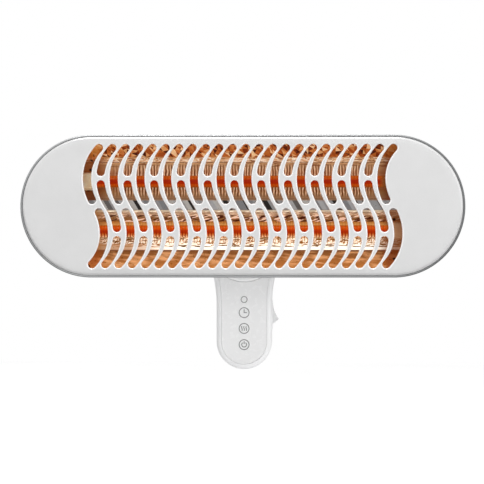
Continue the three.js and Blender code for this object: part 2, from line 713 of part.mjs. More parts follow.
// The cradle on the column: a round boss that fills the top of the column's face, and two ears.
function hingeCradle() {
  const { y, z, barrel, pin } = HINGE;
  const backY = COLUMN.faceY + CONTROLS.sheet;
  const domeY = COLUMN.faceY - DOME.rise;
  const face = slab(column(COLUMN.edge + GAP), [COLUMN.faceY, backY]);
  const upper = face.intersect(box([-FAR, FAR], [-FAR, 0], [CONTROLS.top, FAR]));
  const disc = (radius) => arc(0, z, radius, 0, 345, 23);
  const dome = stack([
    [domeY, disc(DOME.radius - DOME.rise)],
    [domeY + DOME.rise / 3, disc(DOME.radius - DOME.rise / 3)],
    [domeY + DOME.rise, disc(DOME.radius)],
    [backY, disc(DOME.radius)],
  ]);
  const trimmed = dome.intersect(slab(column(COLUMN.edge + GAP), [domeY - 1, backY + 1]));
  const ears = [-1, 1].map((side) => {
    const span = [side * earInner, side * earOuter].sort((a, b) => a - b);
    return join(
      rod("x", barrel, span, [y, z], SIDES),
      box(span, [y, backY - 1], [z - barrel, z + barrel]),
    );
  });
  const holes = [
    rod("x", pin + GAP, [-earOuter - 1, earOuter + 1], [y, z], SIDES),
    rod("y", CABLE.radius + 2 * GAP, [domeY - 1, backY + 1], [-CABLE.x, z]),
    ...cradleScrews.map((p) => rod("y", SCREW.shank + GAP, [domeY + 1, backY + 1], p)),
  ];
  add("hinge_cradle", cut(join(upper, trimmed, ...ears), ...holes), castMetal);
  cradleScrews.forEach((p, i) => {
    const headY = columnInnerY + GAP;
    const screw = join(
      rod("y", SCREW.head, [headY, headY + SCREW.headHeight], p),
      rod("y", SCREW.shank, [domeY + 1.5, headY + 0.5], p),
    );
    add(`cradle_screw_${i + 1}`, screw, steel);
  });
}

function pivots() {
  const { y, z, pin, barrel, barrelHalf, washer, head, cavityHalf } = HINGE;
  for (const [name, side] of [["left", -1], ["right", 1]]) {
    const spanX = (from, to) => [side * from, side * to].sort((a, b) => a - b);
    const headX = earOuter + GAP;
    const body = join(
      rod("x", pin, spanX(cavityHalf + 1, headX + 1), [y, z], SIDES),
      rod("x", 2 * pin, spanX(headX, headX + head), [y, z], SIDES),
    );
    add(`tilt_pivot_${name}`, body, steel);
    const inner = barrelHalf + GAP;
    const ring = cut(
      rod("x", barrel - 0.5, spanX(inner, inner + washer), [y, z], SIDES),
      rod("x", pin + GAP, spanX(inner - 1, inner + washer + 1), [y, z], SIDES),
    );
    add(`friction_washer_${name}`, ring, brass);
  }
}

// The cable meets itself on the tilt axis, so that it only twists when the head tilts.
function cables() {
  const { y, z } = HINGE;
  const low = TERMINALS.z - TERMINALS.halfHeight - GAP;
  const headRoute = [
    [GAP / 2, y, z],
    [CABLE.x, y, z],
    [CABLE.x, WIRE.y, z],
    [TERMINALS.x, WIRE.y, z],
    [TERMINALS.x, WIRE.y, low],
  ];
  add("head_cable", tube(route(headRoute, CABLE.x - 1), CABLE.radius, 8, 32), darkPlastic);
  const columnRoute = [
    [-GAP / 2, y, z],
    [-CABLE.x, y, z],
    [-CABLE.x, MAINS.y, z],
    [-CABLE.x, MAINS.y, MAINS.top + GAP],
  ];
  add("column_cable", tube(route(columnRoute, CABLE.x - 1), CABLE.radius, 8, 20), darkPlastic);
}

// ---------------------------------------------------------------- column

const shellScrews = SHELL_POST.places.map((z) => [0, z]);
const boardPosts = BOARD_POST.places.flatMap((z) => [-1, 1].map((side) => [side * BOARD_POST.x, z]));

function frontShell() {
  const { faceY, partingY, wall, edge, footZ, half } = COLUMN;
  const outer = stack([...roundOver(faceY, edge, (inset) => column(inset)), [partingY, column(0)]]);
  const inner = stack([
    [columnInnerY, column(edge)],
    [columnInnerY + edge - wall, column(wall)],
    [partingY + 1, column(wall)],
  ]);
  const hollow = slab(column(edge), [faceY - 1, recessY]);
  const posts = shellScrews.map((p) => rod("y", SHELL_POST.radius, [columnInnerY - 1, rearInnerY - GAP], p));
  const bores = shellScrews.map((p) => rod("y", SCREW.shank + GAP, [SHELL_POST.boreY, rearInnerY], p));
  const floorHoles = [
    rod("y", CABLE.radius + 2 * GAP, [recessY - 1, columnInnerY + 1], [-CABLE.x, HINGE.z]),
    rod("y", BOARD.led + GAP, [recessY - 1, columnInnerY + 1], [0, CONTROLS.lamp]),
    ...cradleScrews.map((p) => rod("y", SCREW.shank + GAP, [recessY - 1, columnInnerY + 1], p)),
  ];
  const neck = ROCKER.halfWidth + GAP + ROCKER.wall + GAP;
  const rockerHole = box(
    [half - wall - 2, half + 3],
    [ROCKER.y - neck, ROCKER.y + neck],
    [ROCKER.z - ROCKER.bezelHalf - GAP, ROCKER.z + ROCKER.bezelHalf + GAP],
  );
  const cordHole = rod("z", GLAND.radius + GAP, [footZ - half - 1, footZ - half + 6], [0, GLAND.y], SIDES);
  const shell = join(cut(outer, inner, hollow), ...posts);
  add("column_front_shell", cut(shell, ...bores, ...floorHoles, rockerHole, cordHole), whitePlastic);
}

function rearShell() {
  const { partingY, wall, standOff } = COLUMN;
  const frontY = partingY + GAP;
  const body = slab(column(0), [frontY, -standOff]);
  const hollow = slab(column(wall), [frontY - 1, rearInnerY]);
  const recess = slab(column(wall), [rearWallY, 1]);
  const postReach = [BOARD.powerY + BOARD.sheet + GAP, rearInnerY + 1];
  const posts = boardPosts.map((p) => rod("y", BOARD_POST.radius, postReach, p));
  const screws = shellScrews.map((p) => rod("y", SCREW.shank + GAP, [rearInnerY - 1, rearWallY + 1], p));
  const shellRest = HOOK.z + HOOK.thick + GAP;
  const slotsForHooks = [-HOOK.x, HOOK.x].map((x) =>
    box(
      [x - HOOK.half - GAP, x + HOOK.half + GAP],
      [rearInnerY - 1, rearWallY + 1],
      [shellRest - HOOK.thick - HOOK.lip - 1, shellRest],
    ),
  );
  const lockHole = rod("z", SCREW.shank + GAP, [footEdge - 1, footEdge + 5], [0, lockY]);
  const holes = [...screws, ...slotsForHooks, lockHole];
  add("column_rear_shell", cut(join(cut(body, hollow, recess), ...posts), ...holes), whitePlastic);
  shellScrews.forEach((p, i) => {
    const headY = rearWallY + GAP;
    const screw = join(
      rod("y", SCREW.head, [headY, headY + SCREW.headHeight], p),
      rod("y", SCREW.shank, [SHELL_POST.screwY, headY + 0.5], p),
    );
    add(`shell_screw_${i + 1}`, screw, steel);
  });
}

const footEdge = COLUMN.footZ - COLUMN.half; // lowest point of the column
const lockY = (-WALL_PLATE.thick + rearWallY) / 2;

// The wall plate carries two hooks that the column hangs on and a tab that a grub screw locks from below.
function wallPlate() {
  const { thick, inset, hole, holes } = WALL_PLATE;
  const plate = slab(column(inset), [-thick, 0]);
  const hooks = [-HOOK.x, HOOK.x].map((x) => {
    const span = [x - HOOK.half, x + HOOK.half];
    const lipY = -HOOK.reach - HOOK.thick;
    return join(
      box(span, [lipY, -thick / 2], [HOOK.z, HOOK.z + HOOK.thick]),
      box(span, [lipY, lipY + HOOK.thick], [HOOK.z, HOOK.z + HOOK.thick + HOOK.lip]),
    );
  });
  const tabZ = footEdge + COLUMN.wall + LOCK_TAB.rise;
  const tabTop = tabZ + LOCK_TAB.height;
  const tab = box([-LOCK_TAB.half, LOCK_TAB.half], [rearWallY + GAP, -thick / 2], [tabZ, tabTop]);
  const cuts = [
    ...holes.map((z) => rod("y", hole, [-thick - 1, 1], [0, z])),
    rod("z", SCREW.shank + GAP, [tabZ - THROUGH, tabTop + THROUGH], [0, lockY]),
  ];
  add("wall_plate", cut(join(plate, ...hooks, tab), ...cuts), steel);
  add("lock_screw", rod("z", SCREW.shank, [footEdge + LOCK_TAB.screwIn, tabTop - 0.5], [0, lockY]), steel);
}

function controlPanel() {
  const { sheet, lamp, lens, touch, top } = CONTROLS;
  const backY = COLUMN.faceY + sheet;
  const face = slab(column(COLUMN.edge + GAP), [COLUMN.faceY, backY]);
  const reach = [COLUMN.faceY - 1, backY + 1];
  const lower = face.intersect(box([-FAR, FAR], [-FAR, 0], [-FAR, top - GAP]));
  const domeCut = slab(arc(0, HINGE.z, DOME.radius + GAP, 0, 345, 23), reach);
  const panel = cut(lower, domeCut, rod("y", lens + GAP, reach, [0, lamp], SIDES));
  add("control_panel", panel, panelPlastic);
  add("indicator_lens", rod("y", lens, [COLUMN.faceY, backY], [0, lamp], SIDES), clearPlastic);
  ["timer", "level", "power"].forEach((name, i) => {
    const padY = columnInnerY + GAP;
    const pad = join(
      rod("y", PAD.radius, [padY, padY + PAD.sheet], [0, touch[i]], SIDES),
      rod("y", PAD.pin, [padY + PAD.sheet / 2, BOARD.controlY - GAP], [0, touch[i]]),
    );
    add(`touch_pad_${name}`, pad, brass);
  });
}

function electronics() {
  const { sheet, controlY, control, powerY, power } = BOARD;
  const boardOf = (y, { half, low, high }) => box([-half, half], [y, y + sheet], [low, high]);
  const led = rod("y", BOARD.led, [recessY, controlY + sheet / 2], [0, CONTROLS.lamp]);
  add("control_board", join(boardOf(controlY, control), led), circuitBoard);
  const reach = [powerY - THROUGH, powerY + sheet + THROUGH];
  const holes = boardPosts.map((p) => rod("y", BOARD_POST.hole, reach, p));
  add("power_board", cut(boardOf(powerY, power), ...holes), circuitBoard);
  const onBoard = powerY - GAP;
  RELAY.low.forEach((low, i) => {
    const relay = box(RELAY.x, [onBoard - RELAY.height, onBoard], [low, low + RELAY.length]);
    add(`relay_${i + 1}`, relay, darkPlastic);
  });
  add("transformer", transformer(onBoard), steel);
  add("mains_terminal", mainsTerminal(onBoard), whitePlastic);
}

// A laminated core round a wound former.
function transformer(backY) {
  const { x, z, inset } = TRANSFORMER;
  const core = box(x, [backY - TRANSFORMER.core, backY], z);
  const inside = (span) => [span[0] + inset, span[1] - inset];
  return join(core, box(inside(x), [backY - TRANSFORMER.former, backY - 1], inside(z)));
}

// The cable's own terminals, right below where it comes in.
function mainsTerminal(backY) {
  const { y, top, height, halfWidth, halfDepth, well, wellX, wellRise, wellDepth } = MAINS;
  const frontY = y - halfDepth;
  const block = box([-CABLE.x - halfWidth, -CABLE.x + halfWidth], [frontY, backY], [top - height, top]);
  const wells = [-wellX, wellX].map((x) =>
    rod("y", well, [frontY - THROUGH, frontY + wellDepth], [x - CABLE.x, top - height + wellRise]),
  );
  return cut(block, ...wells);
}

function rockerSwitch() {
  const { y, z, radius, halfWidth, wall, bezelHalf, bezelProud, rim, under, trunnion } = ROCKER;
  const innerHalf = halfWidth + GAP;
  const outerHalf = innerHalf + wall;
  const shellInner = COLUMN.half - COLUMN.wall - GAP;
  const bodyHalf = radius + GAP + wall;
  const body = join(
    box([pivot.x - 6, shellInner], [y - outerHalf, y + outerHalf], [z - bodyHalf, z + bodyHalf]),
    box(
      [shellInner - 1, COLUMN.half + bezelProud],
      [y - outerHalf, y + outerHalf],
      [z - bezelHalf, z + bezelHalf],
    ),
  );
  const sweep = rod("y", radius + GAP, [y - innerHalf, y + innerHalf], [pivot.x, z], 2 * SIDES);
  const room = sweep.intersect(box([pivot.x - under, FAR], [-FAR, 0], [z - FAR, z + FAR]));
  const mouth = box(
    [COLUMN.half - COLUMN.wall, FAR],
    [y - innerHalf, y + innerHalf],
    [z - bezelHalf + rim, z + bezelHalf - rim],
  );
  const bearing = rod("y", trunnion + GAP, [y - outerHalf - 1, y + outerHalf + 1], [pivot.x, z]);
  add("rocker_housing", cut(body, room, mouth, bearing), whitePlastic);
  const pin = rod("y", trunnion, [y - outerHalf + GAP, y + outerHalf - GAP], [pivot.x, z]);
  add("rocker_button", join(slab(rockerOutline(), [y - halfWidth, y + halfWidth]), pin), whitePlastic);
}

// The rocker's side view: a hollow finger face between two tips, straight flanks and a narrow hub.
function rockerOutline() {
  const { radius, tip, flank, flankRadius, hub, lean, dish } = ROCKER;
  const halfChord = radius * Math.sin(radians(tip));
  const depth = radius * Math.cos(radians(tip));
  const hollow = (halfChord ** 2 + dish ** 2) / (2 * dish); // radius of the hollow
  const open = THREE.MathUtils.radToDeg(Math.asin(halfChord / hollow));
  const face = arc(depth + hollow - dish, 0, hollow, 180 + open, 180 - open, 6);
  const polar = (reach, angle) => at(reach, 0).rotateAround(at(0, 0), radians(angle));
  const points = [
    polar(flankRadius, -flank),
    polar(radius, -tip),
    ...face.slice(1, -1),
    polar(radius, tip),
    polar(flankRadius, flank),
    ...arc(0, 0, hub, 110, 250, 4),
  ];
  return points.map((p) => p.rotateAround(at(0, 0), radians(lean)).add(at(pivot.x, pivot.z)));
}

// A bush in the column's foot that the mains lead goes through.
function cordGland() {
  const { y, radius, bore, length, collar } = GLAND;
  const low = footEdge + 0.5;
  const collarZ = COLUMN.footZ - Math.sqrt((COLUMN.half - COLUMN.wall) ** 2 - collar ** 2) + 2 * GAP;
  const body = join(
    rod("z", radius, [low, low + length], [0, y], SIDES),
    rod("z", collar, [collarZ, collarZ + 2], [0, y], SIDES),
  );
  add("cord_gland", cut(body, rod("z", bore, [low - 1, low + length + 1], [0, y], SIDES)), darkPlastic);
}

// ---------------------------------------------------------------- the object

frontPanel();
trimRing();
rearHousing();
housingScrews();
reflector();
reflectorEnds();
heatingBars();
ceramicCaps();
leads();
terminalBlock();
thermalCutout();
hingeKnuckle();
backingPlate();
hingeCradle();
pivots();
cables();
frontShell();
rearShell();
wallPlate();
controlPanel();
electronics();
rockerSwitch();
cordGland();

export default root;
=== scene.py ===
"""The looks of a wall heater with two quartz bars.

Pieces are modelled in millimetres, in the frame's own axes, and brought to metres when they are finished.
The front looks along -Y and the wall is the plane y = 0.
"""

import json
import math
import random

import bmesh
import bpy
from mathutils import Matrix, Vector


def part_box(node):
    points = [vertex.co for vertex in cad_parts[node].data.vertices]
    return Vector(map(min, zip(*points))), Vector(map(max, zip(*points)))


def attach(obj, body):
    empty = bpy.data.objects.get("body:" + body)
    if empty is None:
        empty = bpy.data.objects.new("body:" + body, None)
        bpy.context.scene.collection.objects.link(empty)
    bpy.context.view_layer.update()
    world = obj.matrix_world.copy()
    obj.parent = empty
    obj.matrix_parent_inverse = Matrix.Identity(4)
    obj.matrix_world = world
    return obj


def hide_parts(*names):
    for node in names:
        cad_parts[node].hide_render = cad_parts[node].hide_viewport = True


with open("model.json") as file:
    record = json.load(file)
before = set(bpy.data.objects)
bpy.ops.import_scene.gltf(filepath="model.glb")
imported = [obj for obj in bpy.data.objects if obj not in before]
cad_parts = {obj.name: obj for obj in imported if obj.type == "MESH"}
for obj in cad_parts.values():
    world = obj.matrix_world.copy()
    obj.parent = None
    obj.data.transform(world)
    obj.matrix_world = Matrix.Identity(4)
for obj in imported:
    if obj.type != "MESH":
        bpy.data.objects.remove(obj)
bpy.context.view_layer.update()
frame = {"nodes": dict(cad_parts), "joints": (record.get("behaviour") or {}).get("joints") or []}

# ------------------------------------------------------------------ sizes, in millimetres

MM = 0.001
ROUND, SMALL_ROUND = 96, 48  # sides of the head's round ends, and of a small round piece
POST_ROUND, PIN_ROUND = 32, 24  # sides of a post or a screw's head, and of a pin or its bore
NEAR = 0.01  # two places closer than this are one
PAST = 1  # how far a cutter reaches past what it cuts
GAP = 0.3  # between two pieces
SEAM = 0.12  # where a panel is let in to its frame: the photographed joints are this fine


def corners(name):
    """Lowest and highest corner of a node, in millimetres."""
    low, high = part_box(name)
    return low / MM, high / MM


panel_low, panel_high = corners("front_panel")
ring_low, ring_high = corners("trim_ring")
housing_high = corners("rear_housing")[1]
shell_low = corners("column_front_shell")[0]
tube_low, tube_high = corners("quartz_tube_upper")
knuckle_low, knuckle_high = corners("hinge_knuckle")
barrel_axis = Vector(frame["joints"][0]["pos_m"]) / MM
rocker_axis = Vector(frame["joints"][1]["pos_m"]) / MM

HEAD_Z = (panel_low.z + panel_high.z) / 2
FACE_Y = panel_low.y
PANEL_RADIUS = (panel_high.z - panel_low.z) / 2
HEAD_RADIUS = (ring_high.z - ring_low.z) / 2
STRAIGHT = ring_high.x - HEAD_RADIUS  # half of the head's straight length
SHEET = 1.6  # grille panel
SKIRT = 8  # depth of the grille panel
RIM = 2.5  # radius of the panel's rounded rim
LIP = 1.25  # rolled edge of each slot
LIP_STEPS = 5
CROWN = {"width": 6.5, "drop": 0.25}  # the face slopes back a little just inside its rim
SLOT = {"columns": 23, "pitch": 13.39, "width": 8.0, "bridge": 6.1}
SLOT |= {"bend": 50.4, "outer_bend": 44.0, "crest": 28.0, "end": 58.2}  # radii and heights of the wave
POST = {"x": 190, "z": 20, "radius": 4.0, "length": 7.0, "bore": 1.8, "floor": 1.0}
WALL = 2.2  # housing and column shells
BACK = {"radius": 50.0, "round": 29.0, "steps": 12}  # the housing's flat back, and how it rounds off to it
VENT = {"width": 4.0, "low": 24.0, "high": 40.0, "first": 60.0, "pitch": 16.0, "count": 5}
PROFILE = [(64.5, 5.5), (43.5, 30), (33, 32.5), (17, 32.5), (8, 28), (5, 14)]  # reflector: height, depth
FOIL = {"sheet": 0.8, "half": 160.0, "cuts": 71, "wall_cuts": 5}  # the reflector's sheet and its divisions
BAR_Z = tube_low.z / 2 + tube_high.z / 2 - HEAD_Z  # height of a bar above the head's middle
BAR = {"y": (tube_low.y + tube_high.y) / 2, "radius": 6.0, "wall": 1.0, "half": tube_high.x}
COIL = {"half": 146.0, "radius": 3.85, "wire": 0.45, "pitch": 2.92}
CAP = {"size": 17.6, "inner": 148.0, "outer": 172.0, "seat": 11.0, "lead": 1.9}
COLUMN = {"half": 28.3, "foot_z": -118.1, "flare_z": -81.0, "flare_radius": 137.0, "edge": 5.0, "floor": 1.7}
COLUMN_Y = shell_low.y
PARTING_Y = corners("column_rear_shell")[0].y - GAP  # the front shell's rim; its screw posts reach further
DOME = {"radius": 37.5, "rise": 2.6}  # the round boss
CONTROL = {"sheet": 2.0, "top": -40.0, "lamp": -74.9, "lens": 3.3}
CONTROL |= {"timer": -88.4, "level": -104.6, "power": -121.2}  # heights of the marks
HINGE = {"barrel": 9.5, "pin": 4.0, "washer": 1.9, "ear": 7.0, "head": 2.5}
WIRE_WAY = {"x": 7, "radius": 2.8}  # the holes for the cable beside the hinge
HOOK = {"x": 15, "half": 4, "sheet": 2, "reach": -12, "z": 18, "tip": 24, "slot": 13}  # wall plate
LOCK = {"y": -4, "bore": 1.8}  # the screw that locks the column to the wall plate
GLAND = {"radius": 6, "bore": 3.4, "collar": 8}
ROCKER = {"radius": 14.4, "tip": 39, "flank": 70, "flank_radius": 12.1, "hub": 4.0, "lean": 20, "dish": 1.35}
ROCKER |= {"half_width": 5.0, "wall": 1.2, "bezel_half": 14.9, "rim": 1.0, "proud": 1.0}
FLOOR = {"z": -300, "size": 8000}

flare_x = COLUMN["half"] + COLUMN["flare_radius"]
top_radius = math.hypot(flare_x, COLUMN["flare_z"]) - COLUMN["flare_radius"]
flare_turn = math.degrees(math.atan2(-COLUMN["flare_z"], flare_x))


# ------------------------------------------------------------------ modelling by hand, in edit mode


def apply_place():
    """Moves the active object's place, turn and scale into its mesh."""
    bpy.ops.object.transform_apply(location=True, rotation=True, scale=True)


def start(primitive, **settings):
    """A new primitive with its place in its mesh and nothing selected, open in edit mode."""
    bpy.ops.object.select_all(action="DESELECT")
    primitive(**settings)
    apply_place()
    bpy.ops.object.mode_set(mode="EDIT")
    bpy.ops.mesh.select_all(action="DESELECT")
    return bpy.context.object


def choose(kind, test):
    """Selects the open piece's vertices, edges or faces that pass a test."""
    bpy.ops.mesh.select_mode(type=kind)
    bpy.ops.mesh.select_all(action="DESELECT")
    mesh = bmesh.from_edit_mesh(bpy.context.edit_object.data)
    for item in {"VERT": mesh.verts, "EDGE": mesh.edges, "FACE": mesh.faces}[kind]:
        item.select_set(bool(test(item)))
    mesh.select_flush_mode()
    bmesh.update_edit_mesh(bpy.context.edit_object.data)


def pick(kind, test):
    """Selects vertices, edges or faces whose middle and normal (an edge's line) pass a test."""

    def passes(item):
        if kind == "EDGE":
            a, b = (end.co for end in item.verts)
            return test((a + b) / 2, (b - a).normalized())
        return test(item.co if kind == "VERT" else item.calc_center_median(), item.normal)

    choose(kind, passes)


def pick_corners(test, least=40):
    """Selects the edges whose faces meet at more than an angle, and whose ends pass a test."""

    def passes(edge):
        sharp = len(edge.link_faces) == 2 and math.degrees(edge.calc_face_angle(0)) > least
        return sharp and all(test(end.co) for end in edge.verts)

    choose("EDGE", passes)


def pick_all():
    bpy.ops.mesh.select_all(action="SELECT")


def round_corners(radius, segments, test=lambda p: True, least=40):
    """Rolls the corners that pass a test. Slivers are merged first, as they hold every bevel back."""
    pick_all()
    bpy.ops.mesh.remove_doubles(threshold=0.06)
    pick_corners(test, least)
    bpy.ops.mesh.bevel(offset=radius, segments=segments, profile=0.5, affect="EDGES", clamp_overlap=True)


def leave():
    if bpy.context.mode != "OBJECT":
        bpy.ops.object.mode_set(mode="OBJECT")


def only(piece):
    """Makes a piece the one that is selected and active, in object mode."""
    leave()
    bpy.ops.object.select_all(action="DESELECT")
    piece.select_set(True)
    bpy.context.view_layer.objects.active = piece
    return piece


def reopen(piece):
    only(piece)
    bpy.ops.object.mode_set(mode="EDIT")
    bpy.ops.mesh.select_all(action="DESELECT")


def rounded(piece, radius, segments, test=lambda p: True, least=40):
    """Opens a piece to roll its corners, and closes it again."""
    reopen(piece)
    round_corners(radius, segments, test, least)
    leave()
    return piece


def drop_faces(test):
    """Deletes the open piece's faces that pass a test."""
    pick("FACE", test)
    bpy.ops.mesh.delete(type="FACE")


def draw_out(y, z=0):
    """Extrudes what is selected."""
    bpy.ops.mesh.extrude_region_move(TRANSFORM_OT_translate={"value": (0, y, z)})


def modify(piece, kind, **settings):
    """Adds a modifier and applies it."""
    only(piece)
    made = piece.modifiers.new(kind, kind)
    for name, value in settings.items():
        setattr(made, name, value)
    bpy.ops.object.modifier_apply(modifier=made.name)
    return piece


def tidy(piece):
    """Merges doubles and turns the faces outwards."""
    reopen(piece)
    pick_all()
    bpy.ops.mesh.remove_doubles(threshold=0.002)
    bpy.ops.mesh.normals_make_consistent(inside=False)
    leave()
    return piece


def combine(piece, operation, tools):
    """Changes a piece by other solids, which are used up."""
    for tool in tools:
        modify(piece, "BOOLEAN", operation=operation, solver="EXACT", object=tool)
        bpy.data.objects.remove(tool)
    return piece


def cut(piece, *tools):
    return combine(piece, "DIFFERENCE", tools)


def joined(piece, *tools):
    return combine(piece, "UNION", tools)


def trimmed(piece, tool):
    return combine(piece, "INTERSECT", [tool])


def merged(pieces):
    """Several pieces as one object."""
    only(pieces[0])
    for piece in pieces:
        piece.select_set(True)
    bpy.ops.object.join()
    return bpy.context.object


def copied(piece, move):
    """A copy with its own mesh, moved by a vector."""
    only(piece)
    bpy.ops.object.duplicate(linked=False)
    copy = bpy.context.object
    bpy.ops.transform.translate(value=move)
    apply_place()
    return copy


def around(middle, half):
    """A span either way from a place."""
    return middle - half, middle + half


def through(begin, end):
    """A cutter's span, which reaches past both ends of what it cuts."""
    return begin - PAST, end + PAST


def sideways(side, inner, outer):
    """A span on one side of the middle."""
    return sorted((side * inner, side * outer))


def rod(axis, radius, span, centre, sides=SMALL_ROUND):
    """A cylinder along x, y or z between two places on it; centre holds its other two coordinates."""
    middle = (span[0] + span[1]) / 2
    place = {"x": (middle, *centre), "y": (centre[0], middle, centre[1]), "z": (*centre, middle)}[axis]
    turn = {"x": (0, math.pi / 2, 0), "y": (math.pi / 2, 0, 0), "z": (0, 0, 0)}[axis]
    size = {"radius": radius, "depth": abs(span[1] - span[0])}
    piece = start(bpy.ops.mesh.primitive_cylinder_add, vertices=sides, location=place, rotation=turn, **size)
    leave()
    return piece


def block(x, y, z):
    """A box between two places on each axis."""
    middle = [(a + b) / 2 for a, b in (x, y, z)]
    size = [abs(b - a) for a, b in (x, y, z)]
    piece = start(bpy.ops.mesh.primitive_cube_add, size=1, location=middle, scale=size)
    leave()
    return piece


def capsule(radius, front, back):
    """A slab in the head's outline, with round ends of the given radius."""
    size = {"vertices": ROUND, "radius": radius, "depth": back - front}
    place = {"location": (0, (front + back) / 2, HEAD_Z), "rotation": (math.pi / 2, math.pi / ROUND, 0)}
    piece = start(bpy.ops.mesh.primitive_cylinder_add, **size, **place)
    for side in (-1, 1):
        pick("VERT", lambda p, n: p.x * side > 0)
        bpy.ops.transform.translate(value=(side * STRAIGHT, 0, 0))
    leave()
    return piece


def placed(name, data):
    """A new object in the scene."""
    made = bpy.data.objects.new(name, data)
    bpy.context.scene.collection.objects.link(made)
    return made


def prism(outlines, front, back):
    """A solid between two depths, from a flat filled curve of (x, z) outlines."""
    curve = bpy.data.curves.new("outline", "CURVE")
    curve.dimensions = "2D"
    curve.fill_mode = "BOTH"
    curve.extrude = (back - front) / 2
    for outline in outlines:
        spline = curve.splines.new("POLY")
        spline.points.add(len(outline) - 1)
        for point, (x, z) in zip(spline.points, outline):
            point.co = (x, z, 0, 1)
        spline.use_cyclic_u = True
    piece = placed("outline", curve)
    piece.rotation_euler = (math.pi / 2, 0, 0)
    piece.location = (0, (front + back) / 2, 0)
    only(piece)
    bpy.ops.object.convert(target="MESH")
    apply_place()
    piece = bpy.context.object
    tidy(piece)
    reopen(piece)
    pick_all()
    bpy.ops.mesh.dissolve_limited(angle_limit=math.radians(0.05))
    leave()
    return piece


def arc(x, z, radius, begin, end, steps):
    """Points on an arc, in degrees from +X towards +Z."""
    angles = [math.radians(begin + (end - begin) * i / steps) for i in range(steps + 1)]
    return [(x + radius * math.cos(a), z + radius * math.sin(a)) for a in angles]


def circle(x, z, radius, sides=SMALL_ROUND):
    return arc(x, z, radius, 0, 360 - 360 / sides, sides - 1)


def quarter_circle(steps):
    """How far each step of a quarter circle goes along and across."""
    angles = [math.radians(90 * i / steps) for i in range(steps + 1)]
    return [(math.sin(b) - math.sin(a), math.cos(a) - math.cos(b)) for a, b in zip(angles, angles[1:])]


def from_spine(p):
    """How far a place is from the straight line between the middles of the head's round ends."""
    return math.hypot(max(abs(p.x) - STRAIGHT, 0), p.z - HEAD_Z)


def column_outline(inset):
    """The column's outline, drawn in: a round foot, straight sides, a flare and a round top."""
    right = arc(0, COLUMN["foot_z"], COLUMN["half"] - inset, -90, 0, 28)
    right += arc(flare_x, COLUMN["flare_z"], COLUMN["flare_radius"] + inset, 180, 180 - flare_turn, 14)
    right += arc(0, 0, top_radius - inset, -flare_turn, 90, 40)[1:]
    return right + [(-x, z) for x, z in reversed(right[1:-1])]


def give(piece, materials):
    for material in materials:
        piece.data.materials.append(material)


def paint_picked(piece):
    """Gives the picked faces of the open piece its second material."""
    piece.active_material_index = 1
    bpy.ops.object.material_slot_assign()


def finished(piece, name, body, slot, materials, stands_for=(), smooth=32, weighted=True):
    """Brings a piece to metres, smooths it, gives it the materials it lacks, hangs it on its body and hides
    the CAD nodes it stands for.
    """
    only(piece)
    piece.name = piece.data.name = name
    piece.scale = (MM, MM, MM)
    apply_place()
    bpy.ops.object.shade_smooth_by_angle(angle=math.radians(smooth))
    if weighted:
        modify(piece, "WEIGHTED_NORMAL", keep_sharp=True, weight=60)
    give(piece, materials[len(piece.data.materials) :])
    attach(piece, body)
    if stands_for:
        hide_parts(*stands_for)


# ------------------------------------------------------------------ materials

# Grain sizes of the clouds in a coat's tone and in its sheen, in millimetres.
CLOUD, SHEEN = 38, 5
AMBIENT = 0.53  # strength of the surround where it lights a matt surface

# Painted shade on the ring: its tones by place across the heater, darker at the left end and more so towards
# the right end.
RING = (-223, 223)
RING_SHADE_TONES = [(-223, "#b0b1b2"), (-160, "#d4d5d6"), (0, "#d4d5d6"), (150, "#bcbdbe"), (195, "#969798")]
RING_SHADE_TONES += [(223, "#909192")]

# A bar's glow by height above its own middle.
UPPER_GLOW = [(-6, "#8a4a18"), (-5, "#a0480f"), (-3.2, "#b4440a"), (-2, "#9c2602"), (1, "#962008")]
UPPER_GLOW += [(2.4, "#ae4408"), (4.6, "#b8581a"), (6, "#a4521a")]
# The lower bar's lowest stops are pale: a painted highlight of the bright trough behind it.
LOWER_GLOW = [(-6, "#e8c498"), (-4.4, "#d09058"), (-3, "#bc5a1c"), (-1.4, "#a22a02"), (0.8, "#ac3202")]
LOWER_GLOW += [(2.4, "#c44c06"), (4.8, "#bc500c"), (6, "#a86628")]

# Painted reflections on the reflector, by height above the head's middle, and the painted shade of its ends.
TROUGHS = (-65, 65)
TROUGH_REFLECTION_TONES = [(-65, "#b87632"), (-58, "#a0662f"), (-46, "#80542c"), (-44.1, "#6a4020"), (-43.3, "#fffbee")]
TROUGH_REFLECTION_TONES += [(-33, "#fff4dc"), (-31, "#c08850"), (-18, "#c8924c"), (-15.5, "#b88440"), (-14.5, "#86602f")]
TROUGH_REFLECTION_TONES += [(-11, "#8c6e48"), (-8, "#aa8c6c"), (-6, "#84705a"), (-4.6, "#d8c4a8"), (-3.6, "#6a5a4c")]
TROUGH_REFLECTION_TONES += [(6.2, "#b09a80"), (7.2, "#523018"), (8.4, "#98785a"), (14, "#987448"), (18, "#885430")]
TROUGH_REFLECTION_TONES += [(31, "#925c38"), (38, "#ac8058"), (42, "#a87e56"), (43.6, "#d0aa7c"), (44.5, "#5e3218")]
TROUGH_REFLECTION_TONES += [(45.4, "#dcb88c"), (49, "#c49a68"), (50.5, "#a4602c")]
END_SHADE_TONES = [(-65, "#c07434"), (-56, "#a85a26"), (-44.5, "#8c481c"), (-43, "#a87848"), (-32, "#a87646")]
END_SHADE_TONES += [(-28, "#86481c"), (-8, "#a07444"), (6, "#663012"), (34, "#74380f"), (46.5, "#7c3e14")]
END_SHADE_TONES += [(48, "#a45822"), (54, "#b4702e"), (62, "#cc8a44")]

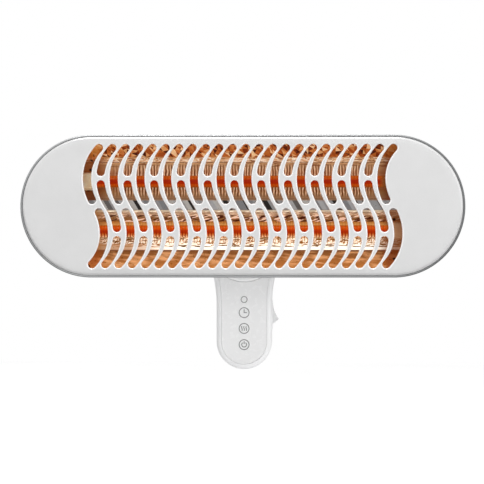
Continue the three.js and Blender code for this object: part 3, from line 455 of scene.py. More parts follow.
# Painted reflections on the creased facets and the ridge's patches: tones, each from a share of the throws
# on.
FACET_REFLECTION_TONES = [(0, "#4c1a08"), (0.1, "#74300f"), (0.24, "#984a1a"), (0.42, "#ae6028"), (0.62, "#bf763c")]
FACET_REFLECTION_TONES += [(0.78, "#d09a62"), (0.9, "#e8c494")]
RIDGE_REFLECTION_TONES = [(0, "#8f8e8e"), (0.2, "#6b6b6c"), (0.42, "#7f7e7e"), (0.6, "#524d4a"), (0.74, "#9b9893")]
RIDGE_REFLECTION_TONES += [(0.86, "#17120f")]

# Painted reflections of the windings as dark and light streaks: where on the wave one starts and is full,
# its colour, and its rows as heights, softness and depth.
STREAKS = [
    (0.0, 0.7, "#54280f", [(31, 40, 3, 1.0), (12, 19, 4, 1.0), (-19, -15, 2, 0.4), (-35, -31, 3, 0.9)]),
    (-0.1, -0.8, "#fae0ba", [(32, 40, 3, 0.85), (13, 19, 3, 1.0)]),
]

# Flecks of painted highlight and dark painted reflection: width, length and lean, noise they start and end
# at, heights, strength, colour.
FLECKS = [
    (1.5, 14, 3, 0.5, 0.58, 44.8, 49, 1.0, "#fff0d6"),
    (1.4, 12, -4, 0.55, 0.6, 40.5, 50, 0.9, "#7a4826"),
    (2.0, 13, 20, 0.52, 0.56, -15, -9, 1.0, "#46200e"),
    (1.8, 12, 16, 0.55, 0.6, -15, -5, 1.0, "#fbe6cc"),
    (1.0, 6, 4, 0.51, 0.54, -39.5, -31, 1.0, "#684214"),
    (0.9, 3.5, 72, 0.53, 0.56, -38, -30, 0.9, "#86581e"),
    (1.1, 14, 0, 0.49, 0.52, -40.8, -39.4, 1.0, "#5c3c14"),
    (5.0, 26, -14, 0.44, 0.68, -64, -46, 0.8, "#e2b07c"),
    (3.6, 30, -8, 0.54, 0.74, -64, -45, 0.3, "#74462a"),
]


def colour(code):
    """An sRGB hex colour as the linear one that a socket holds."""
    parts = [int(code[i : i + 2], 16) / 255 for i in (1, 3, 5)]
    return [c / 12.92 if c <= 0.04045 else ((c + 0.055) / 1.055) ** 2.4 for c in parts] + [1.0]


def feed(tree, socket, value):
    """Gives a socket a value or an sRGB colour, or links it from a socket or from a node's first output."""
    if isinstance(value, bpy.types.Node):
        value = next(output for output in value.outputs if output.enabled)
    if isinstance(value, bpy.types.NodeSocket):
        tree.links.new(value, socket)
    else:
        socket.default_value = colour(value) if isinstance(value, str) else value


def feed_all(made, sockets):
    """Feeds a node's inputs."""
    for name, value in sockets.items():
        feed(made.id_data, made.inputs[name], value)


def node(tree, kind, inputs=None, **settings):
    """Adds a node with its settings and what its inputs are fed with."""
    made = tree.nodes.new("ShaderNode" + kind)
    for name, value in settings.items():
        setattr(made, name, value)
    feed_all(made, inputs or {})
    return made


def layered(tree, base, *layers):
    """Colours laid over one another, each layer being how much it covers and its colour."""
    for cover, tone in layers:
        base = node(tree, "Mix", {"Factor": cover, "A": base, "B": tone}, data_type="RGBA")
    return base


def product(tree, *values):
    """Several values multiplied."""
    result = values[0]
    for value in values[1:]:
        result = node(tree, "Math", {0: result, 1: value}, operation="MULTIPLY")
    return result


def surface(shader, sockets, height, depth):
    """Feeds a shader's sockets, and gives it bumps of a real depth in millimetres."""
    tree = shader.id_data
    sockets["Normal"] = node(tree, "Bump", {"Height": height, "Strength": 1.0, "Distance": depth * MM})
    feed_all(shader, sockets)


def blank(name):
    """A new material with a Principled shader, and the piece's own coordinates."""
    material = bpy.data.materials.new(name)
    material.use_nodes = True
    tree = material.node_tree
    tree.nodes.clear()
    shader = node(tree, "BsdfPrincipled")
    node(tree, "OutputMaterial", {"Surface": shader})
    return material, tree, shader, node(tree, "TexCoord").outputs["Object"]


def grain(tree, place, size, low, high, detail=3.0, stretch=(1, 1, 1)):
    """Noise of a real grain size in millimetres, spread between two values."""
    mapped = node(tree, "Mapping", {"Vector": place, "Scale": stretch})
    noise = node(tree, "TexNoise", {"Vector": mapped, "Scale": 1 / (size * MM), "Detail": detail})
    limits = {"From Min": 0.3, "From Max": 0.7, "To Min": low, "To Max": high}
    return node(tree, "MapRange", {"Value": noise, **limits})


def ramp(tree, value, low, high, stops, interpolation="LINEAR"):
    """Colours along a value, each stop being (value, sRGB colour)."""
    spread = node(tree, "MapRange", {"Value": value, "From Min": low, "From Max": high})
    made = node(tree, "ValToRGB", {"Fac": spread})
    scale = made.color_ramp
    scale.interpolation = interpolation
    while len(scale.elements) < len(stops):
        scale.elements.new(0.5)
    for element, (at, code) in zip(scale.elements, stops):
        element.position = (at - low) / (high - low)
        element.color = colour(code)
    return made


def band(tree, value, low, high, soft):
    """1 between two values, fading out over a distance past each."""
    rise = node(tree, "MapRange", {"Value": value, "From Min": low - soft, "From Max": low})
    drop = node(tree, "MapRange", {"Value": value, "From Min": high + soft, "From Max": high})
    return product(tree, rise, drop)


def coated(name, first, second, roughness=(0.3, 0.4), grain_size=0.9, depth=0.012, metallic=0.0, coat=0.0):
    """A coated or moulded surface: fine orange peel or mould grain, and clouds in its tone and sheen."""
    material, tree, shader, place = blank(name)
    sockets = {
        "Base Color": layered(tree, first, (grain(tree, place, CLOUD, 0, 1), second)),
        "Roughness": grain(tree, place, SHEEN, *roughness),
        "Metallic": metallic,
        "Coat Weight": coat,
    }
    surface(shader, sockets, grain(tree, place, grain_size, 0, 1), depth)
    return material


def metal(name, first, second, roughness=(0.25, 0.4), stretch=(1, 1, 1), grain_size=1.2, depth=0.006):
    """Bare or plated metal: its roughness and tone vary with the grain that rolling or brushing left."""
    material, tree, shader, place = blank(name)
    clouds = grain(tree, place, grain_size * 4, 0, 1, stretch=stretch)
    sockets = {
        "Base Color": layered(tree, first, (clouds, second)),
        "Roughness": grain(tree, place, grain_size, *roughness, stretch=stretch),
        "Metallic": 1.0,
    }
    surface(shader, sockets, grain(tree, place, grain_size, 0, 1, stretch=stretch), depth)
    return material


# Baked silver-white enamel with fine metal flake: even, a little milky, with a faint orange peel.
enamel = coated("baked_enamel", "#e4e4e4", "#e8e8e8", (0.3, 0.38), 1.1, 0.004, metallic=0.4)
# Each slot's rolled edge is glossier, and painted whiter than the face as a highlight, so a thin white line
# runs round it.
enamel_lip_highlight = coated("rolled_edge_painted_highlight", "#fcfcfc", "#ffffff", (0.12, 0.18), 1.1, 0.001, metallic=0.25)
# Fine-textured powder coat on the deep-drawn housing.
powder = coated("powder_coat", "#cfd0d1", "#d7d8d9", (0.45, 0.55), 0.7, 0.02)
# White ABS with a fine mould grain.
moulded_white = coated("moulded_abs", "#f7f7f8", "#fbfbfb", (0.36, 0.46), 0.5, 0.01)
# Smooth ABS for the rocker.
smooth_white = coated("polished_abs", "#e3e3e3", "#e9e9e9", (0.22, 0.3), 3.0, 0.003)
# Light grey touch panel: satin acrylic over a printed back.
acrylic = coated("satin_acrylic", "#f3f3f3", "#f6f6f6", (0.22, 0.3), 4.0, 0.002, coat=0.2)
# Screen-printed grey ink.
ink = coated("grey_ink", "#747474", "#7c7c7c", (0.5, 0.6), 0.6, 0.003)
# Silver zinc-plated steel of the fasteners.
zinc = metal("zinc_plated_steel", "#b4b6b8", "#cbccce", (0.25, 0.4), grain_size=0.6)
# Galvanised sheet: pale spangles about a centimetre across, seldom far apart in tone.
galvanised = metal("galvanised_steel", "#b6b9bb", "#c0c3c5", (0.4, 0.5), grain_size=2.5)
# The reflector's back keeps the dull grey of the rolling mill.
mill_finish = metal("mill_finish_aluminium", "#a9abad", "#b9bbbd", (0.4, 0.5), (0.1, 1, 1), 1.5)
# Die-cast zinc with a satin coat.
cast = coated("coated_casting", "#fbfbfb", "#ffffff", (0.4, 0.5), 0.8, 0.02)
# Brass, a little dull.
brass = metal("rolled_brass", "#b8974f", "#cdb06a", (0.3, 0.45), grain_size=0.8)
# Black polyamide, lightly textured.
polyamide = coated("black_polyamide", "#26272a", "#303134", (0.45, 0.6), 0.5, 0.015)
# Black PVC cable sheath.
sheath = coated("pvc_sheath", "#1f2022", "#292a2c", (0.5, 0.62), 0.9, 0.01)
# Green solder resist over glass-fibre laminate.
resist = coated("solder_resist", "#1f5a35", "#2b6b41", (0.3, 0.45), 1.5, 0.01)


def crosswise(tree, place):
    """Place across the heater, in metres."""
    return node(tree, "SeparateXYZ", {"Vector": place}).outputs["X"]


def from_middle(tree, place):
    """Distance across from the heater's middle, in metres."""
    return node(tree, "Math", {0: crosswise(tree, place)}, operation="ABSOLUTE")


def above_middle(tree, place):
    """Height above the head's middle, in millimetres."""
    z = node(tree, "SeparateXYZ", {"Vector": place}).outputs["Z"]
    return node(tree, "Math", {0: z, 1: 1 / MM, 2: -HEAD_Z}, operation="MULTIPLY_ADD")


def winding_wave(tree, place, wobble):
    """A wave as long as a winding's pitch, from -1 to 1."""
    inputs = {0: crosswise(tree, place), 1: 2 * math.pi / (COIL["pitch"] * MM), 2: wobble}
    turns = node(tree, "Math", inputs, operation="MULTIPLY_ADD")
    return node(tree, "Math", {0: turns}, operation="SINE")


def shards(tree, place, width, length, lean, least, most):
    """Long flecks of a real width and length in millimetres that lean by an angle from the level. 0 to 1."""
    turned = node(tree, "Mapping", {"Vector": place, "Rotation": (0, math.radians(lean), 0)})
    drawn = node(tree, "Mapping", {"Vector": turned, "Scale": (width / length, 1, 1)})
    noise = node(tree, "TexNoise", {"Vector": drawn, "Scale": 1 / (width * MM), "Detail": 2.0})
    return node(tree, "MapRange", {"Value": noise, "From Min": least, "From Max": most})


def woven_sleeve():
    """Glass-fibre sleeve: cream yarns braided slantwise, 0.7 mm wide."""
    material, tree, shader, place = blank("glass_fibre_sleeve")
    braid = []
    for lean in (1, -1):
        turned = node(tree, "Mapping", {"Vector": place, "Rotation": (0, lean * math.radians(45), 0)})
        yarns = node(tree, "TexWave", {"Vector": turned, "Scale": 0.314 / (0.7 * MM)})
        braid.append(yarns.outputs["Fac"])
    woven = node(tree, "Math", {0: braid[0], 1: braid[1]}, operation="MAXIMUM")
    tone = layered(tree, "#b9ad94", (woven, "#e4dcc8"))
    surface(shader, {"Base Color": tone, "Roughness": 0.75}, woven, 0.12)
    return material


def fired_ceramic():
    """Steatite: buff, unglazed and speckled, with painted shade that turns it brown on the right-hand side.
    """
    material, tree, shader, place = blank("steatite")
    x = crosswise(tree, place)
    # Painted shade: browner towards the right-hand side.
    painted_shade_right = node(tree, "MapRange", {"Value": x, "From Min": -0.02, "From Max": 0.02, "To Max": 0.8})
    specks = node(tree, "TexVoronoi", {"Vector": place, "Scale": 1 / (1.6 * MM)})
    limits = {"From Min": 0.05, "From Max": 0.2, "To Min": 0.35, "To Max": 0.0}
    spots = node(tree, "MapRange", {"Value": specks, **limits})
    clouds = grain(tree, place, 7, 0, 1)
    tone = layered(tree, "#ffdfae", (clouds, "#fff0cf"), (painted_shade_right, "#c07c44"), (spots, "#a27c50"))
    surface(shader, {"Base Color": tone, "Roughness": 0.72}, grain(tree, place, 0.6, 0, 1), 0.03)
    return material


def brushed_band():
    """Satin anodised aluminium, brushed along the band, with painted shade: darker at both ends, most at the
    right, and a little darker along the top.
    """
    material, tree, shader, place = blank("anodised_aluminium")
    x = node(tree, "Math", {0: crosswise(tree, place), 1: 1 / MM}, operation="MULTIPLY")
    along = (0.05, 1, 1)
    brushed = product(tree, grain(tree, place, 3, 0, 1, stretch=along), 0.15)
    height = above_middle(tree, place)
    # Painted shade: a little darker along the top, and darker towards the ends by place across the heater.
    top = node(tree, "MapRange", {"Value": height, "From Min": 45, "From Max": 70, "To Max": 0.15})
    tone = ramp(tree, x, *RING, RING_SHADE_TONES)
    sockets = {
        "Base Color": layered(tree, tone, (brushed, "#707172"), (top, "#808182")),
        "Roughness": grain(tree, place, 0.9, 0.38, 0.48, stretch=along),
        "Metallic": 1.0,
    }
    surface(shader, sockets, grain(tree, place, 0.9, 0, 1, stretch=along), 0.003)
    return material


def bar_glow(tree, height, middle, stops):
    """A bar's colours over its thickness, each stop at a height from the bar's middle."""
    stops = [(middle + rise, code) for rise, code in stops]
    return ramp(tree, height, *around(middle, BAR["radius"]), stops)


def glowing_quartz():
    """Quartz glass round a hot winding: deep red along its middle and orange above and below. The lower
    tube's underside also carries a painted highlight, pale like the bright trough behind it. The tubes' ends
    are cold, most so the upper's right one."""
    material, tree, shader, place = blank("glowing_quartz")
    height = above_middle(tree, place)
    upper = bar_glow(tree, height, BAR_Z, UPPER_GLOW)
    lower = bar_glow(tree, height, -BAR_Z, LOWER_GLOW)
    which = node(tree, "MapRange", {"Value": height, "From Min": -1, "From Max": 1})
    ripple = winding_wave(tree, place, grain(tree, place, 7, -1, 1))
    dark = node(tree, "MapRange", {"Value": ripple, "From Min": -0.2, "From Max": 0.9})
    underside = band(tree, height, -BAR_Z - BAR["radius"], -BAR_Z - 2.4, 2.5)
    strands = product(tree, dark, node(tree, "MapRange", {"Value": underside, "To Min": 0.3}))
    shifted = node(tree, "Math", {0: which, 1: 0.006, 2: crosswise(tree, place)}, operation="MULTIPLY_ADD")
    reach = node(tree, "Math", {0: shifted}, operation="ABSOLUTE")
    cold = node(tree, "MapRange", {"Value": reach, "From Min": 0.143, "From Max": 0.148})
    glow = layered(tree, lower, (which, upper), (strands, "#8c1c00"), (cold, "#a4622e"))
    sockets = {
        "Base Color": glow,
        "Emission Color": glow,
        "Emission Strength": node(tree, "MapRange", {"Value": cold, "To Min": 0.52, "To Max": 0.12}),
        "Roughness": 0.15,
        "IOR": 1.46,
        "Specular IOR Level": 0.05,
        "Transmission Weight": 0.03,
    }
    feed_all(shader, sockets)
    return material


def hot_wire():
    """Oxidised resistance wire at red heat."""
    material, tree, shader, place = blank("glowing_resistance_wire")
    tone = layered(tree, "#ff4a08", (grain(tree, place, 3, 0, 1), "#ff6a14"))
    feed_all(shader, {"Base Color": tone, "Emission Color": tone, "Emission Strength": 1.6, "Roughness": 0.6})
    return material


def winding_streaks(tree, place, height):
    """Layers of upright streaks a winding's pitch apart beside each bar: painted reflections of the windings.
    """
    ripple = winding_wave(tree, place, grain(tree, place, 9, -1.3, 1.3, 2.0))
    side = from_middle(tree, place)
    inside = node(tree, "MapRange", {"Value": side, "From Min": 0.134, "From Max": 0.12})
    uneven = product(tree, grain(tree, place, 2.4, 0.25, 1.0, 1.0, (1, 1, 0.12)), inside)
    layers = []
    for least, most, code, rows in STREAKS:
        streak = node(tree, "MapRange", {"Value": ripple, "From Min": least, "From Max": most})
        for low, high, soft, depth in rows:
            layers.append((product(tree, streak, uneven, band(tree, height, low, high, soft), depth), code))
    return layers


def ridge_patches(tree, place):
    """Slanting patches 5 mm wide on the ridge: painted reflections of the room in greys, here and there
    nearly black.
    """
    parts = node(tree, "SeparateXYZ", {"Vector": place}).outputs
    slant = node(tree, "Math", {0: parts["Z"], 1: 0.6, 2: parts["X"]}, operation="MULTIPLY_ADD")
    patch = node(tree, "Math", {0: slant, 1: 5 * MM}, operation="SNAP")
    dice = node(tree, "TexWhiteNoise", {"W": patch}, noise_dimensions="1D")
    return ramp(tree, dice, 0, 1, RIDGE_REFLECTION_TONES, "CONSTANT")


def lit_reflector():
    """Polished aluminium, painted as if lit by the bars: its colours are painted reflections, also fed to its
    emission as painted glow. Its bands repeat the glow: copper shards on the creased top wall, tan with the
    windings' streaks beside each bar, grey on the ridge, and cream under the lower bar."""
    material, tree, shader, place = blank("polished_aluminium")
    height = above_middle(tree, place)
    x = crosswise(tree, place)
    side = from_middle(tree, place)
    over_ridge = band(tree, height, -3.3, 6.0, 0.4)
    beside_ridge = node(tree, "MapRange", {"Value": over_ridge, "To Min": 1, "To Max": 0})
    troughs = ramp(tree, height, *TROUGHS, TROUGH_REFLECTION_TONES)
    layers = [(over_ridge, ridge_patches(tree, place))] + winding_streaks(tree, place, height)
    for width, length, lean, least, most, low, high, strength, code in FLECKS:
        flecks = shards(tree, place, width, length, lean, least, most)
        layers.append((product(tree, flecks, band(tree, height, low, high, 0.8), strength), code))
    facet = node(tree, "Attribute", attribute_name="facet").outputs["Fac"]
    top_wall = node(tree, "MapRange", {"Value": height, "From Min": 49, "From Max": 50.5})
    brown = node(tree, "MapRange", {"Value": x, "From Min": -0.07, "From Max": -0.115, "To Max": 0.85})
    # Painted shade: the reflector's ends darker, the right end darker still.
    ends = node(tree, "MapRange", {"Value": side, "From Min": 0.137, "From Max": 0.147, "To Max": 0.85})
    right = node(tree, "MapRange", {"Value": x, "From Min": 0, "From Max": 0.02, "To Max": 0.62})
    # Painted shade: near-black spots at the reflector's far ends.
    holes = node(tree, "TexVoronoi", {"Vector": place, "Scale": 1 / (7 * MM)})
    painted_dark_spots = node(tree, "MapRange", {"Value": holes, "From Min": 0.3, "From Max": 0.22})
    far = node(tree, "MapRange", {"Value": side, "From Min": 0.149, "From Max": 0.151})
    layers += [
        (top_wall, ramp(tree, facet, 0, 1, FACET_REFLECTION_TONES, "CONSTANT")),
        (product(tree, brown, band(tree, height, -43.6, -38, 0.6)), "#a8784c"),
        (
            product(tree, ends, beside_ridge),
            layered(tree, ramp(tree, height, *TROUGHS, END_SHADE_TONES), (right, "#702a0a")),
        ),
        (product(tree, painted_dark_spots, far, beside_ridge), "#2a1006"),
    ]
    seen = layered(tree, troughs, *layers)
    # Painted glow: the reflector also emits its own colours, most in the pale band under the lower bar.
    middle = node(tree, "MapRange", {"Value": side, "From Min": 0.14, "From Max": 0.125})
    browned = node(tree, "MapRange", {"Value": brown, "To Min": 1, "To Max": 0.2})
    painted_glow_band = product(tree, band(tree, height, -43.6, -31, 1.0), middle, browned)
    sockets = {
        "Base Color": seen,
        "Emission Color": seen,
        "Emission Strength": node(tree, "MapRange", {"Value": painted_glow_band, "To Min": 0.5, "To Max": 1.05}),
        "Metallic": 0.5,
        "Roughness": grain(tree, place, 4, 0.25, 0.4),
    }
    surface(shader, sockets, grain(tree, place, 9, 0, 1), 0.15)
    return material


def clear_lens():
    """Frosted polycarbonate window with a printed grey rim."""
    material, tree, shader, place = blank("frosted_polycarbonate")
    centred = node(tree, "Mapping", {"Vector": place, "Location": (0, 0, -CONTROL["lamp"] * MM)})
    parts = node(tree, "SeparateXYZ", {"Vector": centred}).outputs
    flat = node(tree, "CombineXYZ", {"X": parts["X"], "Z": parts["Z"]})
    radius = node(tree, "VectorMath", {0: flat}, operation="LENGTH")
    rim = node(tree, "MapRange", {"Value": radius, "From Min": 0.0027, "From Max": 0.0028})
    sockets = {
        "Base Color": layered(tree, "#f4f4f4", (rim, "#7c7c7c")),
        "Roughness": 0.25,
        "Subsurface Weight": 0.1,
        "Subsurface Scale": 0.001,
    }
    feed_all(shader, sockets)
    return material


anodised = brushed_band()
sleeve = woven_sleeve()
ceramic = fired_ceramic()
quartz = glowing_quartz()
wire = hot_wire()
reflector_metal = lit_reflector()
lens_plastic = clear_lens()

# ------------------------------------------------------------------ grille panel


def sag(z):
    """How far the wave has left its crest, and how steeply, at a height above the head's middle."""
    rise = abs(z) - SLOT["crest"]
    bend = SLOT["outer_bend"] if rise > 0 else SLOT["bend"]
    across = math.sqrt(bend**2 - rise**2)
    return bend - across, rise / across


def wave(z):
    """Sideways place of a slot's centre line."""
    return (1 if z > 0 else -1) * (sag(z)[0] - sag(0)[0])


def slope(z):
    return sag(z)[1]


def slot_outline(low, high, half):
    """A slot's outline along the wave, between the centres of its round ends."""
    steps = math.ceil((high - low) / 2)

    def side(sign):
        points = []
        for i in range(steps + 1):
            z = low + (high - low) * i / steps
            out = sign * half / math.hypot(1, slope(z))
            points.append((wave(z) + out, HEAD_Z + z - out * slope(z)))
        return points

    def end(z, turn):
        lean = turn - math.degrees(math.atan(slope(z)))
        return arc(wave(z), HEAD_Z + z, half, lean, lean + 180, 12)[1:-1]

    return side(1) + end(high, 0) + side(-1)[::-1] + end(low, 180)


def slot_cutter(low, high):
    """The hole of one slot, which widens to the face in a quarter circle and leaves a rolled edge."""
    piece = prism([slot_outline(low, high, SLOT["width"] / 2 + LIP)], FACE_Y - PAST, FACE_Y)
    give(piece, (enamel, enamel_lip_highlight))
    reopen(piece)
    pick("FACE", lambda p, n: n.y > 0.9)
    for along, across in quarter_circle(LIP_STEPS):
        bpy.ops.mesh.inset(thickness=LIP * along, depth=LIP * across)
    draw_out(SHEET - LIP + PAST)
    pick("FACE", lambda p, n: FACE_Y + 0.001 < p.y < FACE_Y + LIP - 0.001)
    paint_picked(piece)
    leave()
    return piece


def slot_cutters():
    """Every second column is bridged once, in the middle, and the others twice, at the crests."""
    tools = []
    for parity, bridges in enumerate(([0], [-SLOT["crest"], SLOT["crest"]])):
        lows = [-SLOT["end"]] + [z + SLOT["bridge"] for z in bridges]
        highs = [z - SLOT["bridge"] for z in bridges] + [SLOT["end"]]
        for low, high in zip(lows, highs):
            first = slot_cutter(low, high)
            for i in range(parity, SLOT["columns"], 2):
                x = (i - (SLOT["columns"] - 1) / 2) * SLOT["pitch"]
                tools.append(copied(first, (x, 0, 0)))
            bpy.data.objects.remove(first)
    return merged(tools)


def post_places():
    return [(x, HEAD_Z + z) for x in (-POST["x"], POST["x"]) for z in (-POST["z"], POST["z"])]


def bored_post(place, front, back, bore_front):
    """A round post for a screw. Its bore runs out at the back."""
    post = rod("y", POST["radius"], (front, back), place, POST_ROUND)
    return cut(post, rod("y", POST["bore"], (bore_front, back + PAST), place, PIN_ROUND))


def grille_panel():
    """Sheet steel with a rounded rim, a turned-back skirt, rolled slots and blind-bored posts."""
    piece = capsule(PANEL_RADIUS, FACE_Y, FACE_Y + SKIRT)
    reopen(piece)
    drop_faces(lambda p, n: n.y > 0.9)
    pick("FACE", lambda p, n: n.y < -0.9)
    bpy.ops.mesh.inset(thickness=CROWN["width"], depth=0)
    edge = PANEL_RADIUS - 0.5
    pick("VERT", lambda p, n: p.y < FACE_Y + NEAR and from_spine(p) > edge)
    bpy.ops.transform.translate(value=(0, CROWN["drop"], 0))
    round_corners(RIM, 7, lambda p: FACE_Y + 0.1 < p.y < FACE_Y + CROWN["drop"] + NEAR)
    leave()
    modify(piece, "SOLIDIFY", thickness=SHEET, offset=-1, use_even_offset=True)
    give(piece, (enamel, enamel_lip_highlight))
    cut(piece, slot_cutters())
    behind = FACE_Y + SHEET
    post = (FACE_Y + SHEET / 2, behind + POST["length"], behind + POST["floor"])
    joined(piece, *[bored_post(place, *post) for place in post_places()])
    finished(piece, "grille_panel", "head", "grille_enamel", [enamel, enamel_lip_highlight], ["front_panel"], smooth=28)


# ------------------------------------------------------------------ trim ring and housing


def trim_band():
    """A drawn band with a rolled nose, and a lip inside that the grille's skirt stands on."""
    lip_radius = PANEL_RADIUS - SHEET - 0.6
    lip_y = FACE_Y + SKIRT + GAP
    lip_back = lip_y + 1.3
    opening = PANEL_RADIUS + SEAM
    piece = capsule(HEAD_RADIUS, ring_low.y, ring_high.y)
    reopen(piece)
    for facing, begin, end in ((-1, ring_low.y, lip_y), (1, ring_high.y, lip_back)):
        pick("FACE", lambda p, n: facing * n.y > 0.9 and abs(p.y - begin) < NEAR)
        bpy.ops.mesh.inset(thickness=HEAD_RADIUS - PANEL_RADIUS - SEAM, depth=0)
        draw_out(end - begin)
        bpy.ops.mesh.inset(thickness=opening - lip_radius, depth=0)
        bpy.ops.mesh.delete(type="FACE")

    def on_lip(p, n):
        near = lip_y - NEAR < p.y < lip_back + NEAR
        return near and from_spine(p) < lip_radius + 0.05 and abs(n.y) < 0.1

    pick("EDGE", on_lip)
    bpy.ops.mesh.bridge_edge_loops()
    pick_all()
    bpy.ops.mesh.normals_make_consistent(inside=False)
    front = ring_low.y + NEAR
    round_corners(0.9, 5, lambda p: p.y < front and from_spine(p) > HEAD_RADIUS - 0.5)
    round_corners(0.4, 3, lambda p: p.y < front and from_spine(p) < opening + 0.1)
    leave()
    finished(piece, "trim_band", "head", "ring_metal", [anodised], ["trim_ring"])


def vent(side, up, i):
    """The cutter of one vent: a slot with round ends."""
    x = side * (VENT["first"] + VENT["pitch"] * i)
    low, high = sorted((HEAD_Z + up * VENT["low"], HEAD_Z + up * VENT["high"]))
    half = VENT["width"] / 2
    outline = arc(x, high - half, half, 0, 180, 10) + arc(x, low + half, half, 180, 360, 10)
    return prism([outline], *through(housing_high.y - WALL, housing_high.y))


def housing_shell():
    """A deep-drawn bowl that rounds off to a flat back, with vents and pillars."""
    front = ring_high.y + GAP
    reach = HEAD_RADIUS - BACK["radius"]
    piece = capsule(HEAD_RADIUS, front, housing_high.y - BACK["round"])
    reopen(piece)
    drop_faces(lambda p, n: n.y < -0.9)
    pick("FACE", lambda p, n: n.y > 0.9)
    for along, across in quarter_circle(BACK["steps"]):
        bpy.ops.mesh.inset(thickness=reach * across, depth=BACK["round"] * along)
    leave()
    modify(piece, "SOLIDIFY", thickness=WALL, offset=-1, use_even_offset=True)
    tongue = capsule(PANEL_RADIUS, front - 1.9, front + 2)
    joined(piece, cut(tongue, capsule(PANEL_RADIUS - 2.2, front - 3, front + 3)))
    tools = [vent(side, up, i) for side in (-1, 1) for up in (-1, 1) for i in range(VENT["count"])]
    back = through(housing_high.y - WALL, housing_high.y)
    tools += [rod("y", POST["bore"], back, place, PIN_ROUND) for place in post_places()]
    tools.append(rod("y", WIRE_WAY["radius"], back, (WIRE_WAY["x"], barrel_axis.z), PIN_ROUND))
    cut(piece, merged(tools))
    rounded(piece, 0.6, 3, lambda p: p.y > housing_high.y - NEAR, 60)
    begin, end = FACE_Y + SHEET + POST["length"] + GAP, housing_high.y - WALL / 2
    piece = merged([piece] + [bored_post(place, begin, end, begin - PAST) for place in post_places()])
    finished(piece, "housing_shell", "head", "housing_metal", [powder], ["rear_housing"])


# ------------------------------------------------------------------ reflector, bars and caps


def reflector_sheet():
    """Bent aluminium sheet: two troughs, the upper of which has a top wall creased like hammered foil."""
    half = PROFILE + [(-height, depth) for height, depth in reversed(PROFILE)]
    places = [(FACE_Y + depth, HEAD_Z + height) for height, depth in half]
    piece = start(bpy.ops.mesh.primitive_plane_add, size=1, rotation=(math.pi / 2, 0, 0))
    pick_all()
    bpy.ops.transform.resize(value=(2 * FOIL["half"], 1, 1))
    for edge_z, (y, z) in ((0.5, places[0]), (-0.5, places[1])):
        pick("VERT", lambda p, n: abs(p.z - edge_z) < NEAR and abs(p.y) < NEAR)
        bpy.ops.transform.translate(value=(0, y, z - edge_z))
    for before, after in zip(places[1:], places[2:]):
        bpy.ops.mesh.select_mode(type="EDGE")
        draw_out(after[0] - before[0], after[1] - before[1])
    creased = PROFILE[1][0]
    pick("EDGE", lambda p, n: abs(n.x) > 0.9)
    bpy.ops.mesh.subdivide(number_cuts=FOIL["cuts"])
    pick("EDGE", lambda p, n: abs(n.x) < 0.1 and p.z - HEAD_Z > creased)
    bpy.ops.mesh.subdivide(number_cuts=FOIL["wall_cuts"])
    pick("FACE", lambda p, n: p.z - HEAD_Z > creased)
    bpy.ops.mesh.quads_convert_to_tris(quad_method="SHORTEST_DIAGONAL")
    low, high = creased + 3.5, PROFILE[0][0] - 1
    pick("VERT", lambda p, n: low < p.z - HEAD_Z < high and abs(p.x) < FOIL["half"] - 1)
    bpy.ops.transform.vertex_random(offset=1.6, uniform=0.9, normal=0.0, seed=7)
    bpy.ops.mesh.quads_convert_to_tris(quad_method="SHORTEST_DIAGONAL")
    leave()
    dice = random.Random(11)
    facet = piece.data.attributes.new("facet", "FLOAT", "FACE")
    for value in facet.data:
        value.value = dice.random()
    modify(piece, "SOLIDIFY", thickness=FOIL["sheet"], offset=1, use_even_offset=True)
    sides = [reflector_metal, mill_finish]
    give(piece, sides)
    reopen(piece)
    pick("FACE", lambda p, n: n.y > 0.02)
    paint_picked(piece)
    finished(piece, "reflector_sheet", "head", "reflector_metal", sides, ["reflector"], smooth=12)


def heating_bar(name, z):
    """A quartz tube with its winding."""
    glass = rod("x", BAR["radius"], around(0, BAR["half"]), (BAR["y"], z))
    reopen(glass)
    drop_faces(lambda p, n: abs(n.x) > 0.9)
    leave()
    modify(glass, "SOLIDIFY", thickness=BAR["wall"], offset=-1)
    finished(glass, f"quartz_glass_{name}", "head", "quartz_glass", [quartz], [f"quartz_tube_{name}"])
    bpy.ops.object.select_all(action="DESELECT")
    place = {"location": (0, 0, COIL["radius"]), "rotation": (0, math.pi / 2, 0)}
    bpy.ops.mesh.primitive_circle_add(vertices=8, radius=COIL["wire"], **place)
    coil = bpy.context.object
    apply_place()
    turns = round(2 * COIL["half"] / COIL["pitch"])
    sweep = {"axis": "X", "angle": 2 * math.pi, "screw_offset": COIL["pitch"], "iterations": turns}
    modify(coil, "SCREW", **sweep, steps=14, render_steps=14, use_merge_vertices=False)
    bpy.ops.transform.translate(value=(-COIL["half"], BAR["y"], z))
    apply_place()
    reopen(coil)
    pick_all()
    bpy.ops.mesh.normals_make_consistent(inside=False)
    bpy.ops.mesh.select_all(action="DESELECT")
    bpy.ops.mesh.select_mode(type="EDGE")
    bpy.ops.mesh.select_non_manifold(extend=False)
    bpy.ops.mesh.edge_face_add()
    leave()
    coarse = {"smooth": 60, "weighted": False}
    finished(coil, f"winding_{name}", "head", "heating_wire", [wire], [f"heating_coil_{name}"], **coarse)


